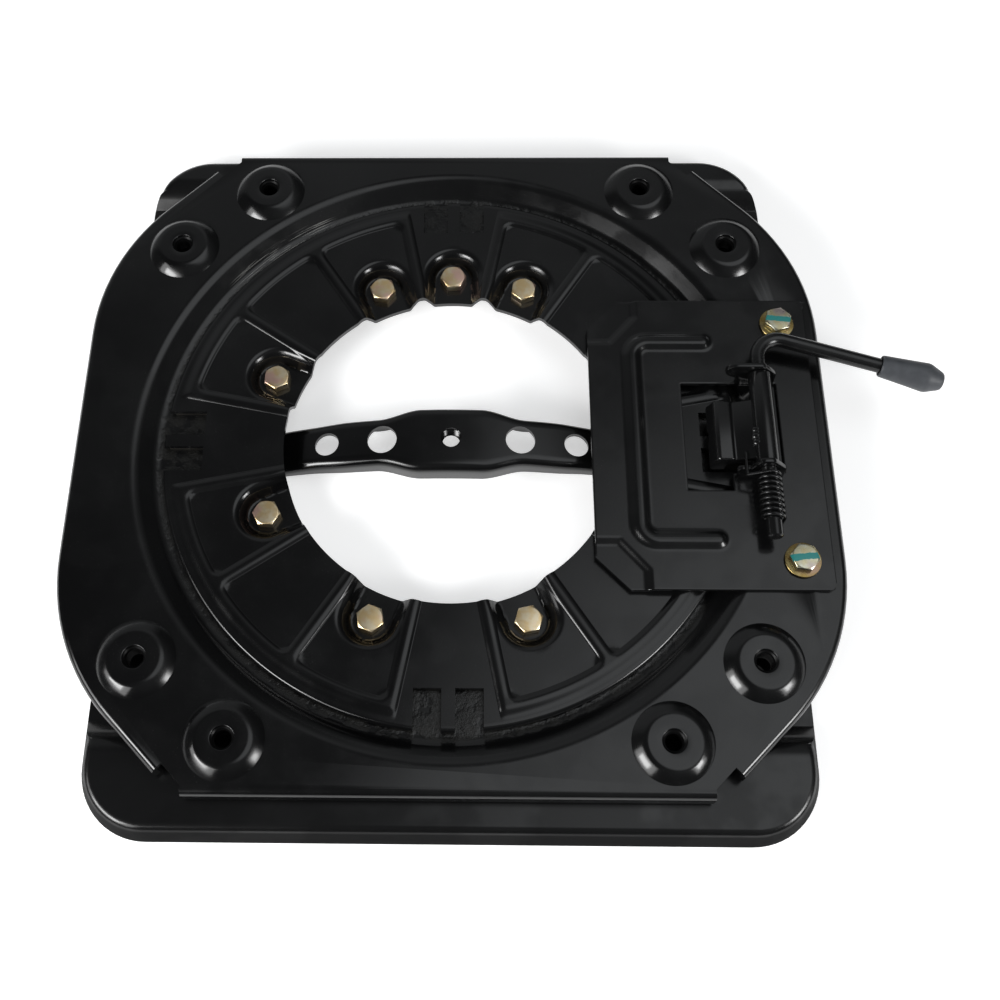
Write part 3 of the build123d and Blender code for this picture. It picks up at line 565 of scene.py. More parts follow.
def ring_angle(index, reach):
    """Angle of a grid line: the lines of each sector follow the edges of its rib."""
    sector, line = divmod(index, sector_lines)
    half = rib_sector / 2
    middle = rib_sector * sector + half
    foot = math.asin(rib_lines[-1] * mm / reach)
    side = (sector_lines - len(rib_lines)) // 2 + 1
    if line < side:
        return middle - half + (half - foot) * line / side
    past = side + len(rib_lines) - 1
    if line >= past:
        return middle + foot + (half - foot) * (line - past) / (sector_lines - past)
    return middle + math.asin(rib_lines[line - side] * mm / reach)


def ring_rise(reach, angle):
    """Height of the pressed ring above its flat, at a place on it."""
    near = (angle - rib_sector / 2) % rib_sector
    near = min(near, rib_sector - near)
    inside = reach * math.sin(near) - rib_foot
    if rib_sector / 2 <= angle % math.radians(90) <= math.radians(90) - rib_sector / 2:
        below = arc_rib - rib_foot - reach
        if inside < panel_corner and below < panel_corner:
            inside = panel_corner - math.hypot(panel_corner - inside, panel_corner - below)
        inside = min(inside, below)
    share = min(max(1 + inside / rib_foot, 0.0), 1.0)
    rise = (1 - share**rib_fullness) * (1 - ease(reach, arc_rib, arc_rib + arc_rib_fall))
    sink = 0.0
    for turn in bolt_turns:
        along = reach * math.cos(angle - turn) - pocket_circle
        across = reach * math.sin(angle - turn)
        if along < -pocket_circle:
            continue
        wall = (math.hypot(max(along, 0.0), across) - pocket_floor) / pocket_run
        if wall < pocket_round:
            sink = max(sink, 1 - max(wall, 0.0) ** 2 / pocket_round)
        elif wall < 1:
            sink = max(sink, (1 - wall) ** 2 / (1 - pocket_round))
    return rib_height * rise * (1 - sink) - pocket_depth * sink


def ring_edge(reach):
    """How far the rolled outer edge of the ring falls below its flat."""
    roll = max(reach - (ring_outer - ring_roll), 0.0)
    return ring_roll - math.sqrt(max(ring_roll**2 - roll**2, 0.0))


last = len(ring_radii) - 1
for vertex in ring.data.vertices:
    level = round((vertex.co.xy.length - ring_inner) / (ring_outer - ring_inner) * last)
    index = round(math.atan2(vertex.co.y, vertex.co.x) / (2 * math.pi) * ring_lines) % ring_lines
    reach = ring_radii[level]
    angle = ring_angle(index, reach)
    vertex.co = (reach * math.cos(angle), reach * math.sin(angle), ring_top)
if ring.data.polygons[0].normal.z < 0:
    edit(ring)
    bpy.ops.mesh.flip_normals()
    close_edit()
apply_modifier(ring, "SOLIDIFY", thickness=ring_sheet, offset=-1)


def cutter_box(low, high, turn=0.0):
    """A box to cut with, between two corners, turned about the Z axis."""
    middle = (Vector(low) + Vector(high)) / 2
    middle.rotate(Quaternion((0, 0, 1), turn))
    let_go()
    bpy.ops.mesh.primitive_cube_add(size=1, location=middle, rotation=(0, 0, turn))
    bpy.context.object.scale = Vector(high) - Vector(low)
    return just_added("cutter")


slot_inner, slot_outer, slot_low, slot_high = 133.0 * mm, 165.0 * mm, 15.0 * mm, 30.0 * mm
slot_offset, slot_half = 10.4 * mm, 7.0 * mm
slots = []
for k in range(4):
    for middle in (-slot_offset, slot_offset):
        low = (slot_inner, middle - slot_half, slot_low)
        high = (slot_outer, middle + slot_half, slot_high)
        slots.append(cutter_box(low, high, math.radians(90 * k)))
cut_away(ring, slots)
for vertex in ring.data.vertices:
    reach = vertex.co.xy.length
    if vertex.co.z > ring_top - 1 * mm:
        vertex.co.z -= ring_edge(reach)
    vertex.co.z += ring_rise(reach, math.atan2(vertex.co.y, vertex.co.x))
smooth(ring, 40)
ring_coat = coat("ring_coat", (0.0028, 0.0028, 0.003, 1), 0.18)
dress(ring, ring_coat, "base", "black_coat", "clamp_ring")

# Ring bolts: nine M8 hex bolts in the pockets of the ring, cold-headed steel, yellow-passivated zinc.
# Their nuts sit under the platform and are clear zinc.
bolt_flats, bolt_head, bolt_radius, bolt_shank = 13.0 * mm, 5.3 * mm, 4.0 * mm, 13.3 * mm
bolt_crown, pocket_level = 0.95 * bolt_flats / 2, 16.0 * mm


def hex_bolt(name, seat, shank):
    """A hex bolt on the Z axis, the underside of its head at seat."""
    let_go()
    bpy.ops.mesh.primitive_cylinder_add(
        vertices=6, radius=bolt_flats / math.sqrt(3), depth=bolt_head, location=(0, 0, seat + bolt_head / 2)
    )
    head = just_added(name)
    bpy.ops.mesh.primitive_cone_add(
        vertices=72, radius1=bolt_crown + bolt_head * math.sqrt(3), radius2=bolt_crown, depth=bolt_head,
        location=(0, 0, seat + bolt_head / 2),
    )
    cut_away(head, [bpy.context.object], "INTERSECT")
    edit(head)
    bpy.ops.mesh.dissolve_limited(angle_limit=math.radians(0.5))
    close_edit()
    bevel_edges(head, 0.22 * mm, 2, 25)
    bpy.ops.mesh.primitive_cylinder_add(
        vertices=40, radius=bolt_radius, depth=shank, location=(0, 0, seat - shank / 2 + 0.1 * mm)
    )
    head = weld([head, just_added("stem")])
    smooth(head, 22)
    return head


def zinc(name, pale, warm, rose, roughness):
    """Passivated zinc: metal with clouded tints, after three colours."""
    material, tree, shader = bare_material(name)
    place = surface_place(tree)
    drift = noise(tree, place, 210.0, 3.0)
    other = noise(tree, place, 90.0, 2.0)
    tint = mix_colour(tree, step_up(tree, drift, 0.35, 0.65), pale, warm)
    tint = mix_colour(tree, step_up(tree, other, 0.5, 0.68), tint, rose)
    tree.links.new(tint, shader.inputs["Base Color"])
    shader.inputs["Metallic"].default_value = 1.0
    grain = noise(tree, place, 900.0, 3.0)
    gloss = plus(tree, times(tree, grain, 0.2), roughness - 0.1)
    tree.links.new(gloss, shader.inputs["Roughness"])
    bump(tree, shader, grain, 0.015 * mm)
    return material


yellow_zinc = zinc("yellow_zinc", (0.93, 0.8, 0.57, 1), (0.88, 0.66, 0.35, 1), (0.92, 0.62, 0.51, 1), 0.34)
clear_zinc = zinc("clear_zinc", (0.62, 0.63, 0.64, 1), (0.55, 0.56, 0.58, 1), (0.5, 0.52, 0.56, 1), 0.32)
ring_bolt = hex_bolt("ring_bolt_set", pocket_level, bolt_shank)
bolt_spin = [0.2, 0.9, 0.35, 1.0, 0.5, 0.15, 0.75, 0.4, 0.6]
ring_places = [
    (pocket_circle * math.cos(turn), pocket_circle * math.sin(turn), spin)
    for turn, spin in zip(bolt_turns, bolt_spin)
]
ring_bolts = copies(ring_bolt, ring_places)
ring_bolts.name = "ring_bolt_set"
dress(ring_bolts, yellow_zinc, "base", "yellow_zinc", "ring_bolts")
for node in ("ring_nuts", "latch_nuts"):
    paint_node(node, clear_zinc)

# Cross strap: a channel pressed from 3 mm steel sheet, open below, that arches across the central opening. It
# has four lightening holes and a threaded collar drawn at the centre. Its feet are spot-welded under the
# platform, and it is painted black.
strap_top, strap_foot = 28.7 * mm, 10.0 * mm
strap_arch, strap_end, strap_bend, strap_sheet = 243.0 * mm, 122.0 * mm, 4.5 * mm, 3.0 * mm
wall_middle, wall_end = 13.0 * mm, 7.0 * mm
strap_widths = [(0, 18.3), (16, 18.3), (40, 13.3), (55, 13.3), (77, 12.5), (122, 12.5)]


def strap_half(x):
    """Half the width of the strap at this distance from its middle."""
    x = abs(x) / mm
    for (x0, w0), (x1, w1) in zip(strap_widths, strap_widths[1:]):
        if x <= x1:
            return (w0 + (w1 - w0) * ease(x, x0, x1)) * mm
    return strap_widths[-1][1] * mm


arch_end = math.sqrt(2 * strap_arch * (strap_top - strap_foot) - (strap_top - strap_foot) ** 2)
flat_lines, bend_lines, wall_lines = 8, 7, 3
bend_last = flat_lines + bend_lines
half_lines = bend_last + wall_lines
let_go()
bpy.ops.mesh.primitive_grid_add(x_subdivisions=200, y_subdivisions=2 * half_lines, size=2)
strap = bpy.context.object
strap.name = "cross_strap_pressing"
for vertex in strap.data.vertices:
    x = vertex.co.x * strap_end
    column = round(vertex.co.y * half_lines)
    side = math.copysign(1, column)
    half = strap_half(x)
    away = min(abs(x) / arch_end, 1.0)
    top = strap_top - (strap_arch - math.sqrt(strap_arch**2 - (away * arch_end) ** 2))
    wall = wall_middle + (wall_end - wall_middle) * away**2
    count = abs(column)
    if count <= flat_lines:
        y, z = side * (half - strap_bend) * count / flat_lines, top
    elif count <= bend_last:
        bend = math.radians(90) * (count - flat_lines) / bend_lines
        y = side * (half - strap_bend + strap_bend * math.sin(bend))
        z = top - strap_bend + strap_bend * math.cos(bend)
    else:
        y, z = side * half, top - strap_bend - (wall - strap_bend) * (count - bend_last) / wall_lines
    vertex.co = (x, y, z)
apply_modifier(strap, "SOLIDIFY", thickness=strap_sheet, offset=-1)
inner_hole_x, inner_hole, outer_hole_x, outer_hole = 37.0 * mm, 7.85 * mm, 67.3 * mm, 6.5 * mm
collar_bore, collar_wall, collar_low, collar_high = 5.6 * mm, 1.0 * mm, 19.7 * mm, 27.0 * mm
strap_drills = [drill(side * inner_hole_x, 0, inner_hole, 12 * mm, 40 * mm) for side in (-1, 1)]
strap_drills += [drill(side * outer_hole_x, 0, outer_hole, 6 * mm, 40 * mm) for side in (-1, 1)]
strap_drills.append(drill(0, 0, collar_bore, 12 * mm, 40 * mm))
cut_away(strap, strap_drills)
smooth(strap, 40)
collar = drill(0, 0, collar_bore + collar_wall, collar_low, collar_high)
cut_away(collar, [drill(0, 0, collar_bore, 15 * mm, 40 * mm)])
smooth(collar, 30)
collar_thread_low, collar_thread_high, collar_crest = 20.2 * mm, 27.9 * mm, 4.8 * mm
strap_thread = thread(
    "strap_thread", collar_bore + 0.05 * mm, collar_crest, thread_pitch, collar_thread_low, collar_thread_high
)
strap = weld([strap, collar, strap_thread])
strap_coat = coat("strap_coat", (0.0032, 0.0032, 0.0034, 1), 0.17)
dress(strap, strap_coat, "base", "black_coat", "cross_strap")

# Latch plate: 2.5 mm steel sheet in black dip paint, bolted on the swivel plate. A window lets the pawl
# through, a C-shaped bead stiffens it, two corners are set down, and two ears are bent up at the window to
# carry the shaft.
latch_top, latch_sheet = 29.7 * mm, 2.5 * mm
latch_left, latch_right, latch_half = 74.3 * mm, 194.5 * mm, 84.0 * mm
latch_slant, latch_round = 17.5 * mm, 4.0 * mm
bead_height, bead_foot, bead_crest = 2.3 * mm, 5.8 * mm, 1.2 * mm
bead_left, bead_end, bead_y, bead_turn = 98.0 * mm, 137.0 * mm, 57.5 * mm, 9.0 * mm
step_x, step_end_x, step_y, step_end_y = 85.8 * mm, 98.6 * mm, 60.0 * mm, 74.3 * mm
step_depth, step_slope = 1.8 * mm, 4.0 * mm
let_go()
bpy.ops.mesh.primitive_grid_add(
    x_subdivisions=120, y_subdivisions=168, size=2, location=((latch_left + latch_right) / 2, 0, latch_top)
)
latch = bpy.context.object
latch.name = "latch_plate_pressing"
latch.scale = ((latch_right - latch_left) / 2, latch_half, 1)
settle(latch)
window_left, window_step, window_right = 123.7 * mm, 147.5 * mm, 174.5 * mm
window_front, window_shelf, window_rear = -30.0 * mm, -20.0 * mm, 32.0 * mm
for vertex in latch.data.vertices:
    for line in (window_left, window_step, window_right):
        if abs(vertex.co.x - line) < 0.5 * mm:
            vertex.co.x = line
edit(latch)
bpy.ops.mesh.select_mode(type="FACE")
mesh = bmesh.from_edit_mesh(latch.data)
for face in mesh.faces:
    x, y = face.calc_center_median().xy
    wide = window_left < x < window_step and window_front < y < window_rear
    narrow = window_step < x < window_right and window_shelf < y < window_rear
    face.select_set(wide or narrow)
bmesh.update_edit_mesh(latch.data)
bpy.ops.mesh.delete(type="FACE")
bpy.ops.mesh.select_mode(type="VERT")
for side in (-1, 1):
    bpy.ops.mesh.select_all(action="SELECT")
    corner = (latch_left + latch_slant, side * latch_half, latch_top)
    bpy.ops.mesh.bisect(plane_co=corner, plane_no=(-1, side, 0), clear_outer=True)
close_edit()


def bead_gap(x, y):
    """Distance from the middle line of the C-shaped bead."""
    y = abs(y)
    corner_x, corner_y = bead_left + bead_turn, bead_y - bead_turn
    if x < corner_x and y > corner_y:
        return abs(math.hypot(x - corner_x, y - corner_y) - bead_turn)
    if y <= corner_y:
        return min(abs(x - bead_left), math.hypot(max(x - bead_end, 0), y - bead_y))
    return math.hypot(max(x - bead_end, 0), y - bead_y)


def corner_depth(x, y):
    """How far inside a set-down corner a place is; negative outside."""
    y = abs(y)
    run_x, run_y = step_end_x - step_x, step_end_y - step_y
    across = (run_y * (step_x - x) + run_x * (y - step_y)) / math.hypot(run_x, run_y)
    return min(y - step_y, across, step_end_x - x)


for vertex in latch.data.vertices:
    x, y = vertex.co.x, vertex.co.y
    over_x, over_y = x - (latch_right - latch_round), abs(y) - (latch_half - latch_round)
    if over_x > 0 and over_y > 0 and math.hypot(over_x, over_y) > latch_round:
        shrink = latch_round / math.hypot(over_x, over_y)
        x = latch_right - latch_round + over_x * shrink
        y = math.copysign(latch_half - latch_round + over_y * shrink, y)
    rise = bead_height * (1 - ease(bead_gap(x, y), bead_crest, bead_foot))
    sink = step_depth * ease(corner_depth(x, y), -step_slope, 0.0)
    vertex.co = (x, y, latch_top + rise - sink)
apply_modifier(latch, "SOLIDIFY", thickness=latch_sheet, offset=-1)
past_round = latch_round + 0.5 * mm
edit(latch)
bpy.ops.mesh.select_mode(type="EDGE")
mesh = bmesh.from_edit_mesh(latch.data)
for edge in mesh.edges:
    x, y, z = (edge.verts[0].co + edge.verts[1].co) / 2
    on_slant = x - latch_left + latch_half - abs(y) < latch_slant + 1 * mm
    on_round = x > latch_right - past_round and abs(y) > latch_half - past_round
    edge.select_set(edge.calc_face_angle(0) > math.radians(60) and not on_slant and not on_round)
bmesh.update_edit_mesh(latch.data)
bpy.ops.mesh.bevel(offset=0.4 * mm, segments=2, affect="EDGES", clamp_overlap=False)
close_edit()
smooth(latch, 35)

shaft_x, shaft_z = 163.5 * mm, 40.7 * mm


def outline_piece(name, points):
    """A flat face in the XZ plane with these corners, made from a circle primitive."""
    let_go()
    bpy.ops.mesh.primitive_circle_add(vertices=len(points), radius=1 * mm)
    piece = just_added(name)
    for vertex, (x, z) in zip(piece.data.vertices, points):
        vertex.co = (x, 0, z)
    edit(piece)
    bpy.ops.mesh.edge_face_add()
    close_edit()
    return piece


def thicken_along_y(piece, low, high):
    """Push a flat XZ face out along Y between two places."""
    edit(piece)
    bpy.ops.transform.translate(value=(0, low, 0))
    bpy.ops.mesh.extrude_region_move(TRANSFORM_OT_translate={"value": (0, high - low, 0)})
    close_outwards()


ear_foot = 27.3
ear_slope = arc(163.4, 45.15, 4.0, 0, 47, 6) + arc(168.9, 38.4, 4.2, 47, 87, 6) + [(173.5, ear_foot)]
rear_ear = [(152.5, ear_foot), (152.5, 35.5)] + arc(151.5, 43.15, 6.0, -165, 0, 16) + ear_slope
front_ear = [(150.5, ear_foot), (150.0, 32.0)] + arc(151.0, 36.6, 2.9, -110, 0, 8) + [(155.0, 39.5)]
front_ear += arc(160.6, 46.15, 3.0, -70, 0, 6) + ear_slope
rear_ear_y, front_ear_y, ear_bore = 32.0 * mm, -22.5 * mm, 4.08 * mm
ears = []
for low, points in ((rear_ear_y, rear_ear), (front_ear_y, front_ear)):
    ear = outline_piece("ear", [(x * mm, z * mm) for x, z in points])
    thicken_along_y(ear, low, low + latch_sheet)
    let_go()
    bpy.ops.mesh.primitive_cylinder_add(
        vertices=48, radius=ear_bore, depth=12 * mm, location=(shaft_x, low, shaft_z),
        rotation=(math.pi / 2, 0, 0),
    )
    cut_away(ear, [bpy.context.object])
    bevel_edges(ear, 0.5 * mm, 3, 50)
    smooth(ear, 28)
    ears.append(ear)
latch = weld([latch] + ears)
latch_coat = coat("latch_coat", (0.0028, 0.0028, 0.003, 1), 0.18)
dress(latch, latch_coat, "swivel", "black_coat", "latch_plate")

# Latch bolts and washers: two M8 hex bolts of steel, yellow zinc, each on a flat washer. They hold the latch
# plate, and a stroke of teal paint across each head shows that it was tightened.
latch_bolt_x, latch_bolt_y, washer_radius, washer_top = 178.5 * mm, 68.5 * mm, 9.25 * mm, 31.3 * mm
latch_places = [(latch_bolt_x, -latch_bolt_y, 0.35), (latch_bolt_x, latch_bolt_y, 0.8)]
marked_zinc = zinc("marked_zinc", (0.64, 0.64, 0.52, 1), (0.56, 0.5, 0.3, 1), (0.5, 0.42, 0.4, 1), 0.3)
marked_tree = marked_zinc.node_tree
marked_shader = marked_tree.nodes["Principled BSDF"]
marked_place = surface_place(marked_tree)
marked_axes = add_node(marked_tree, "ShaderNodeSeparateXYZ", Vector=marked_place)
brush = noise(marked_tree, marked_place, 330.0, 3.0)
off_y = math_node(marked_tree, "ABSOLUTE", marked_axes.outputs["Y"])
off_y = math_node(marked_tree, "SUBTRACT", off_y, latch_bolt_y)
off_x = math_node(marked_tree, "SUBTRACT", marked_axes.outputs["X"], latch_bolt_x)
off_line = plus(marked_tree, off_y, times(marked_tree, off_x, 0.1))
off_line = math_node(marked_tree, "ABSOLUTE", off_line)
off_line = plus(marked_tree, off_line, times(marked_tree, brush, 1.6 * mm))
on_head = step_up(marked_tree, marked_axes.outputs["Z"], 34.6 * mm, 35.0 * mm)
stroke = times(marked_tree, step_down(marked_tree, off_line, 2.3 * mm, 2.6 * mm), on_head)
metal_tint = marked_shader.inputs["Base Color"].links[0].from_socket
marked_tree.links.new(
    mix_colour(marked_tree, stroke, metal_tint, (0.02, 0.2, 0.19, 1)), marked_shader.inputs["Base Color"]
)
marked_tree.links.new(math_node(marked_tree, "SUBTRACT", 1.0, stroke), marked_shader.inputs["Metallic"])
latch_shank = 14.6 * mm
latch_bolts = copies(hex_bolt("latch_bolt_pair", washer_top, latch_shank), latch_places)
latch_bolts.name = "latch_bolt_pair"
dress(latch_bolts, marked_zinc, "swivel", "yellow_zinc", "latch_bolts")
washer = drill(0, 0, washer_radius, latch_top, washer_top)
bevel_edges(washer, 0.3 * mm, 3, 40)
smooth(washer, 25)
washers = copies(washer, latch_places)
washers.name = "latch_washer_pair"
washer_zinc = zinc("washer_zinc", (0.36, 0.29, 0.13, 1), (0.3, 0.21, 0.07, 1), (0.34, 0.23, 0.16, 1), 0.26)
dress(washers, washer_zinc, "swivel", "yellow_zinc", "latch_washers")

# Lever rod: one 8 mm round steel bar, painted black. Its straight end is the latch shaft through both ears;
# behind the rear ear it is bent round and runs out to the right.
rod_radius, rod_front, rod_bend, rod_reach = 4.0 * mm, -60.0 * mm, 12.0 * mm, 92.0 * mm
rod_chamfer, rod_corner_y = 0.7 * mm, 57.0 * mm
rod_corner = Vector((shaft_x, rod_corner_y, shaft_z))
sweep, droop = math.radians(15.2), math.radians(3.0)
lever_way = Vector((math.cos(droop) * math.cos(sweep), -math.cos(droop) * math.sin(sweep), -math.sin(droop)))
shaft_way = Vector((0, 1, 0))
bend_turn = shaft_way.angle(lever_way)
bend_start = rod_corner - shaft_way * rod_bend * math.tan(bend_turn / 2)
bend_in = (lever_way - shaft_way * lever_way.dot(shaft_way)).normalized()
bend_axis = shaft_way.cross(lever_way).normalized()
let_go()
bpy.ops.mesh.primitive_circle_add(
    vertices=40, radius=rod_radius - rod_chamfer, fill_type="NGON", location=(shaft_x, rod_front, shaft_z),
    rotation=(math.pi / 2, 0, 0),
)
rod = just_added("lever_bar")
edit(rod)
bpy.ops.mesh.extrude_region_move(TRANSFORM_OT_translate={"value": (0, rod_chamfer, 0)})
widen = rod_radius / (rod_radius - rod_chamfer)
chamfer_end = rod_front + rod_chamfer
bpy.ops.transform.resize(value=(widen, 1, widen), center_override=(shaft_x, chamfer_end, shaft_z))
bpy.ops.mesh.extrude_region_move(TRANSFORM_OT_translate={"value": (0, bend_start.y - chamfer_end, 0)})
bpy.ops.mesh.spin(
    steps=30, angle=bend_turn, center=bend_start + bend_in * rod_bend, axis=-bend_axis, use_normal_flip=False
)
straight = rod_reach - rod_bend * math.tan(bend_turn / 2)
bpy.ops.mesh.extrude_region_move(TRANSFORM_OT_translate={"value": lever_way * straight})
bpy.ops.mesh.select_all(action="SELECT")
bpy.ops.mesh.remove_doubles(threshold=0.01 * mm)
close_outwards()
smooth(rod, 28)
rod_coat = coat("rod_coat", (0.0035, 0.0035, 0.0037, 1), 0.24)
dress(rod, rod_coat, "lever", "black_coat", "lever_rod")

# Sleeve and pawl: a tube on the shaft between the ears, and a steel block with two teeth welded to it by its
# arm. The teeth drop through the slots of the clamp ring. Both were painted after welding.
sleeve_radius, sleeve_length, sleeve_middle = 6.0 * mm, 51.4 * mm, 6.0 * mm
let_go()
bpy.ops.mesh.primitive_cylinder_add(
    vertices=64, radius=sleeve_radius, depth=sleeve_length, location=(shaft_x, sleeve_middle, shaft_z),
    rotation=(math.pi / 2, 0, 0),
)
sleeve = just_added("pawl_tube")
bevel_edges(sleeve, 0.5 * mm, 3, 40)
smooth(sleeve, 28)
tooth_low, pawl_low, ridge = 25.4, 31.8, 39.7
pawl_half, tooth_gap = 16.9 * mm, 3.9 * mm
pawl_points = [
    (136.5, tooth_low), (144.5, tooth_low), (144.5, pawl_low), (150.5, pawl_low + 2.0), (163.5, 37.7),
    (163.5, 43.7), (147.8, ridge - 1.4), (146.4, ridge), (139.6, ridge), (138.2, ridge - 1.4),
    (135.5, pawl_low),
]
pawl = outline_piece("pawl_block", [(x * mm, z * mm) for x, z in pawl_points])
thicken_along_y(pawl, -pawl_half, pawl_half)
cut_away(pawl, [cutter_box((130 * mm, -tooth_gap, 18 * mm), (160 * mm, tooth_gap, pawl_low * mm))])
bevel_edges(pawl, 1.0 * mm, 4, 20)
smooth(pawl, 30)
seam_x, seam_start, seam_z = 158.2 * mm, -9.0 * mm, 43.3 * mm
drop_count, drop_pitch, drop_radius = 5, 1.8 * mm, 2.0 * mm
drops = []
for k in range(drop_count):
    let_go()
    bpy.ops.mesh.primitive_uv_sphere_add(
        segments=24, ring_count=14, radius=drop_radius,
        location=(seam_x + 0.3 * mm * math.sin(2.3 * k), seam_start + drop_pitch * k, seam_z),
        rotation=(0, math.radians(-30), 0.2),
    )
    drop = bpy.context.object
    drop.scale = (1.25, 0.9, 0.7)
    settle(drop)
    smooth(drop, 60)
    drops.append(drop)
pawl = weld([pawl] + drops)
pawl_coat = coat("pawl_coat", (0.0035, 0.0035, 0.0037, 1), 0.17)
dress(sleeve, pawl_coat, "lever", "black_coat", "pawl_sleeve")
dress(pawl, pawl_coat, "lever", "black_coat", "pawl")

# Return spring: a torsion coil of 1.6 mm black steel wire on the front end of the shaft. Its rear leg passes
# over the ear and presses on the arm of the pawl; its front leg stands on the latch plate.
coil_radius, wire_radius = 5.55 * mm, 0.8 * mm
coil_front, coil_rear, coil_turns, coil_steps = -50.0 * mm, -26.0 * mm, 8.25, 264
let_go()
bpy.ops.mesh.primitive_circle_add(
    vertices=14, radius=wire_radius, location=(coil_radius, 0, 0), rotation=(math.pi / 2, 0, 0)
)
spring = just_added("return_coil")
wind(spring, -coil_turns, coil_rear - coil_front, coil_steps)
spring.rotation_euler = (-math.pi / 2, 0, 0)
spring.location = (shaft_x, coil_front, shaft_z)
settle(spring)


def wire(start, end):
    """A straight length of spring wire with round ends."""
    start, end = Vector(start), Vector(end)
    let_go()
    bpy.ops.mesh.primitive_cylinder_add(
        vertices=16, radius=wire_radius, depth=(end - start).length, location=(start + end) / 2,
        rotation=(end - start).to_track_quat("Z", "Y").to_euler(),
    )
    parts = [bpy.context.object]
    for place in (start, end):
        bpy.ops.mesh.primitive_uv_sphere_add(segments=16, ring_count=10, radius=wire_radius, location=place)
        parts.append(bpy.context.object)
    return parts


leg_x, leg_z, leg_end = 152.5 * mm, 40.82 * mm, -13.9 * mm
front_leg_x = shaft_x + coil_radius
wires = wire((shaft_x, coil_rear, shaft_z + coil_radius), (leg_x, coil_rear, leg_z))
wires += wire((leg_x, coil_rear, leg_z), (leg_x, leg_end, leg_z))
wires += wire((front_leg_x, coil_front, shaft_z), (front_leg_x, coil_front, latch_top + wire_radius))
for part in wires:
    settle(part)
spring = weld([spring] + wires)
edit(spring)
close_outwards()
smooth(spring, 45)
spring_coat = coat("spring_coat", (0.004, 0.004, 0.0043, 1), 0.2)
spring.data.materials.append(spring_coat)
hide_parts("return_spring")
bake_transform(spring)

# Grip: a moulded grey-blue plastic handle, pressed on the end of the rod. It flares towards its end and has
# an open mouth where the rod goes in.
grip_reach = 68.5 * mm
grip_start = rod_corner + lever_way * grip_reach
grip_rings = [
    (4.1, 2.2), (4.9, 2.0), (5.0, 0.4), (5.3, 0.0), (5.6, 0.1), (5.85, 0.5), (5.95, 1.2), (6.2, 4.0),
    (6.6, 9.0), (7.1, 15.0), (7.6, 20.5), (7.82, 23.0), (7.9, 24.4), (7.75, 25.5), (7.35, 26.6), (6.5, 28.6),
    (5.6, 30.8), (5.0, 32.2), (4.4, 33.0), (3.6, 33.4), (2.4, 33.5),
]
let_go()
bpy.ops.mesh.primitive_circle_add(
    vertices=56, radius=grip_rings[0][0] * mm, location=(0, 0, grip_rings[0][1] * mm)
)
grip = just_added("lever_handle")
edit(grip)
for (wide, level), (next_wide, next_level) in zip(grip_rings, grip_rings[1:]):
    bpy.ops.mesh.extrude_region_move(TRANSFORM_OT_translate={"value": (0, 0, (next_level - level) * mm)})
    widen = next_wide / wide
    bpy.ops.transform.resize(value=(widen, widen, 1), center_override=(0, 0, next_level * mm))
bpy.ops.mesh.edge_face_add()
close_outwards()
grip.rotation_mode = "QUATERNION"
grip.rotation_quaternion = lever_way.to_track_quat("Z", "Y")
grip.location = grip_start
settle(grip)
smooth(grip, 40)
grip_plastic, grip_tree, grip_shader = bare_material("grip_plastic")
grip_place = surface_place(grip_tree)
mottle = noise(grip_tree, grip_place, 160.0, 4.0)
grip_tint = mix_colour(
    grip_tree, step_up(grip_tree, mottle, 0.35, 0.65), (0.05, 0.054, 0.061, 1), (0.066, 0.071, 0.079, 1)
)
grip_tree.links.new(grip_tint, grip_shader.inputs["Base Color"])
texture = noise(grip_tree, grip_place, 2200.0, 2.0)
grip_gloss = plus(grip_tree, times(grip_tree, mottle, 0.12), 0.42)
grip_tree.links.new(grip_gloss, grip_shader.inputs["Roughness"])
bump(grip_tree, grip_shader, texture, 0.03 * mm)
dress(grip, grip_plastic, "lever", "grip_plastic", "lever_grip")

# Floor, light and camera. The floor is plain white card, and the room looks white beyond it. A wide soft box
# and its veil stand at the left in front, a smaller pair at the right; the ceiling is paler over the right
# side and the rear wall is pale at the left.
floor_size, floor_level = 6, -0.2 * mm
let_go()
bpy.ops.mesh.primitive_plane_add(size=floor_size, location=(0, 0, floor_level))
floor = bpy.context.object
floor.name = "floor"
card, card_tree, card_shader = bare_material("floor_card")
card_place = surface_place(card_tree)
card_cloud = noise(card_tree, card_place, 3.0, 2.0)
card_tint = mix_colour(card_tree, card_cloud, (0.93, 0.93, 0.93, 1), (0.95, 0.95, 0.95, 1))
card_tree.links.new(card_tint, card_shader.inputs["Base Color"])
card_shader.inputs["Roughness"].default_value = 0.9
card_shader.inputs["Specular IOR Level"].default_value = 0.1
card_shader.inputs["Emission Color"].default_value = (1, 1, 1, 1)
card_rays = card_tree.nodes.new("ShaderNodeLightPath").outputs
card_seen = math_node(card_tree, "MAXIMUM", card_rays["Is Camera Ray"], card_rays["Is Glossy Ray"])
card_glow = times(card_tree, card_seen, 0.5)
card_tree.links.new(card_glow, card_shader.inputs["Emission Strength"])
floor.data.materials.append(card)

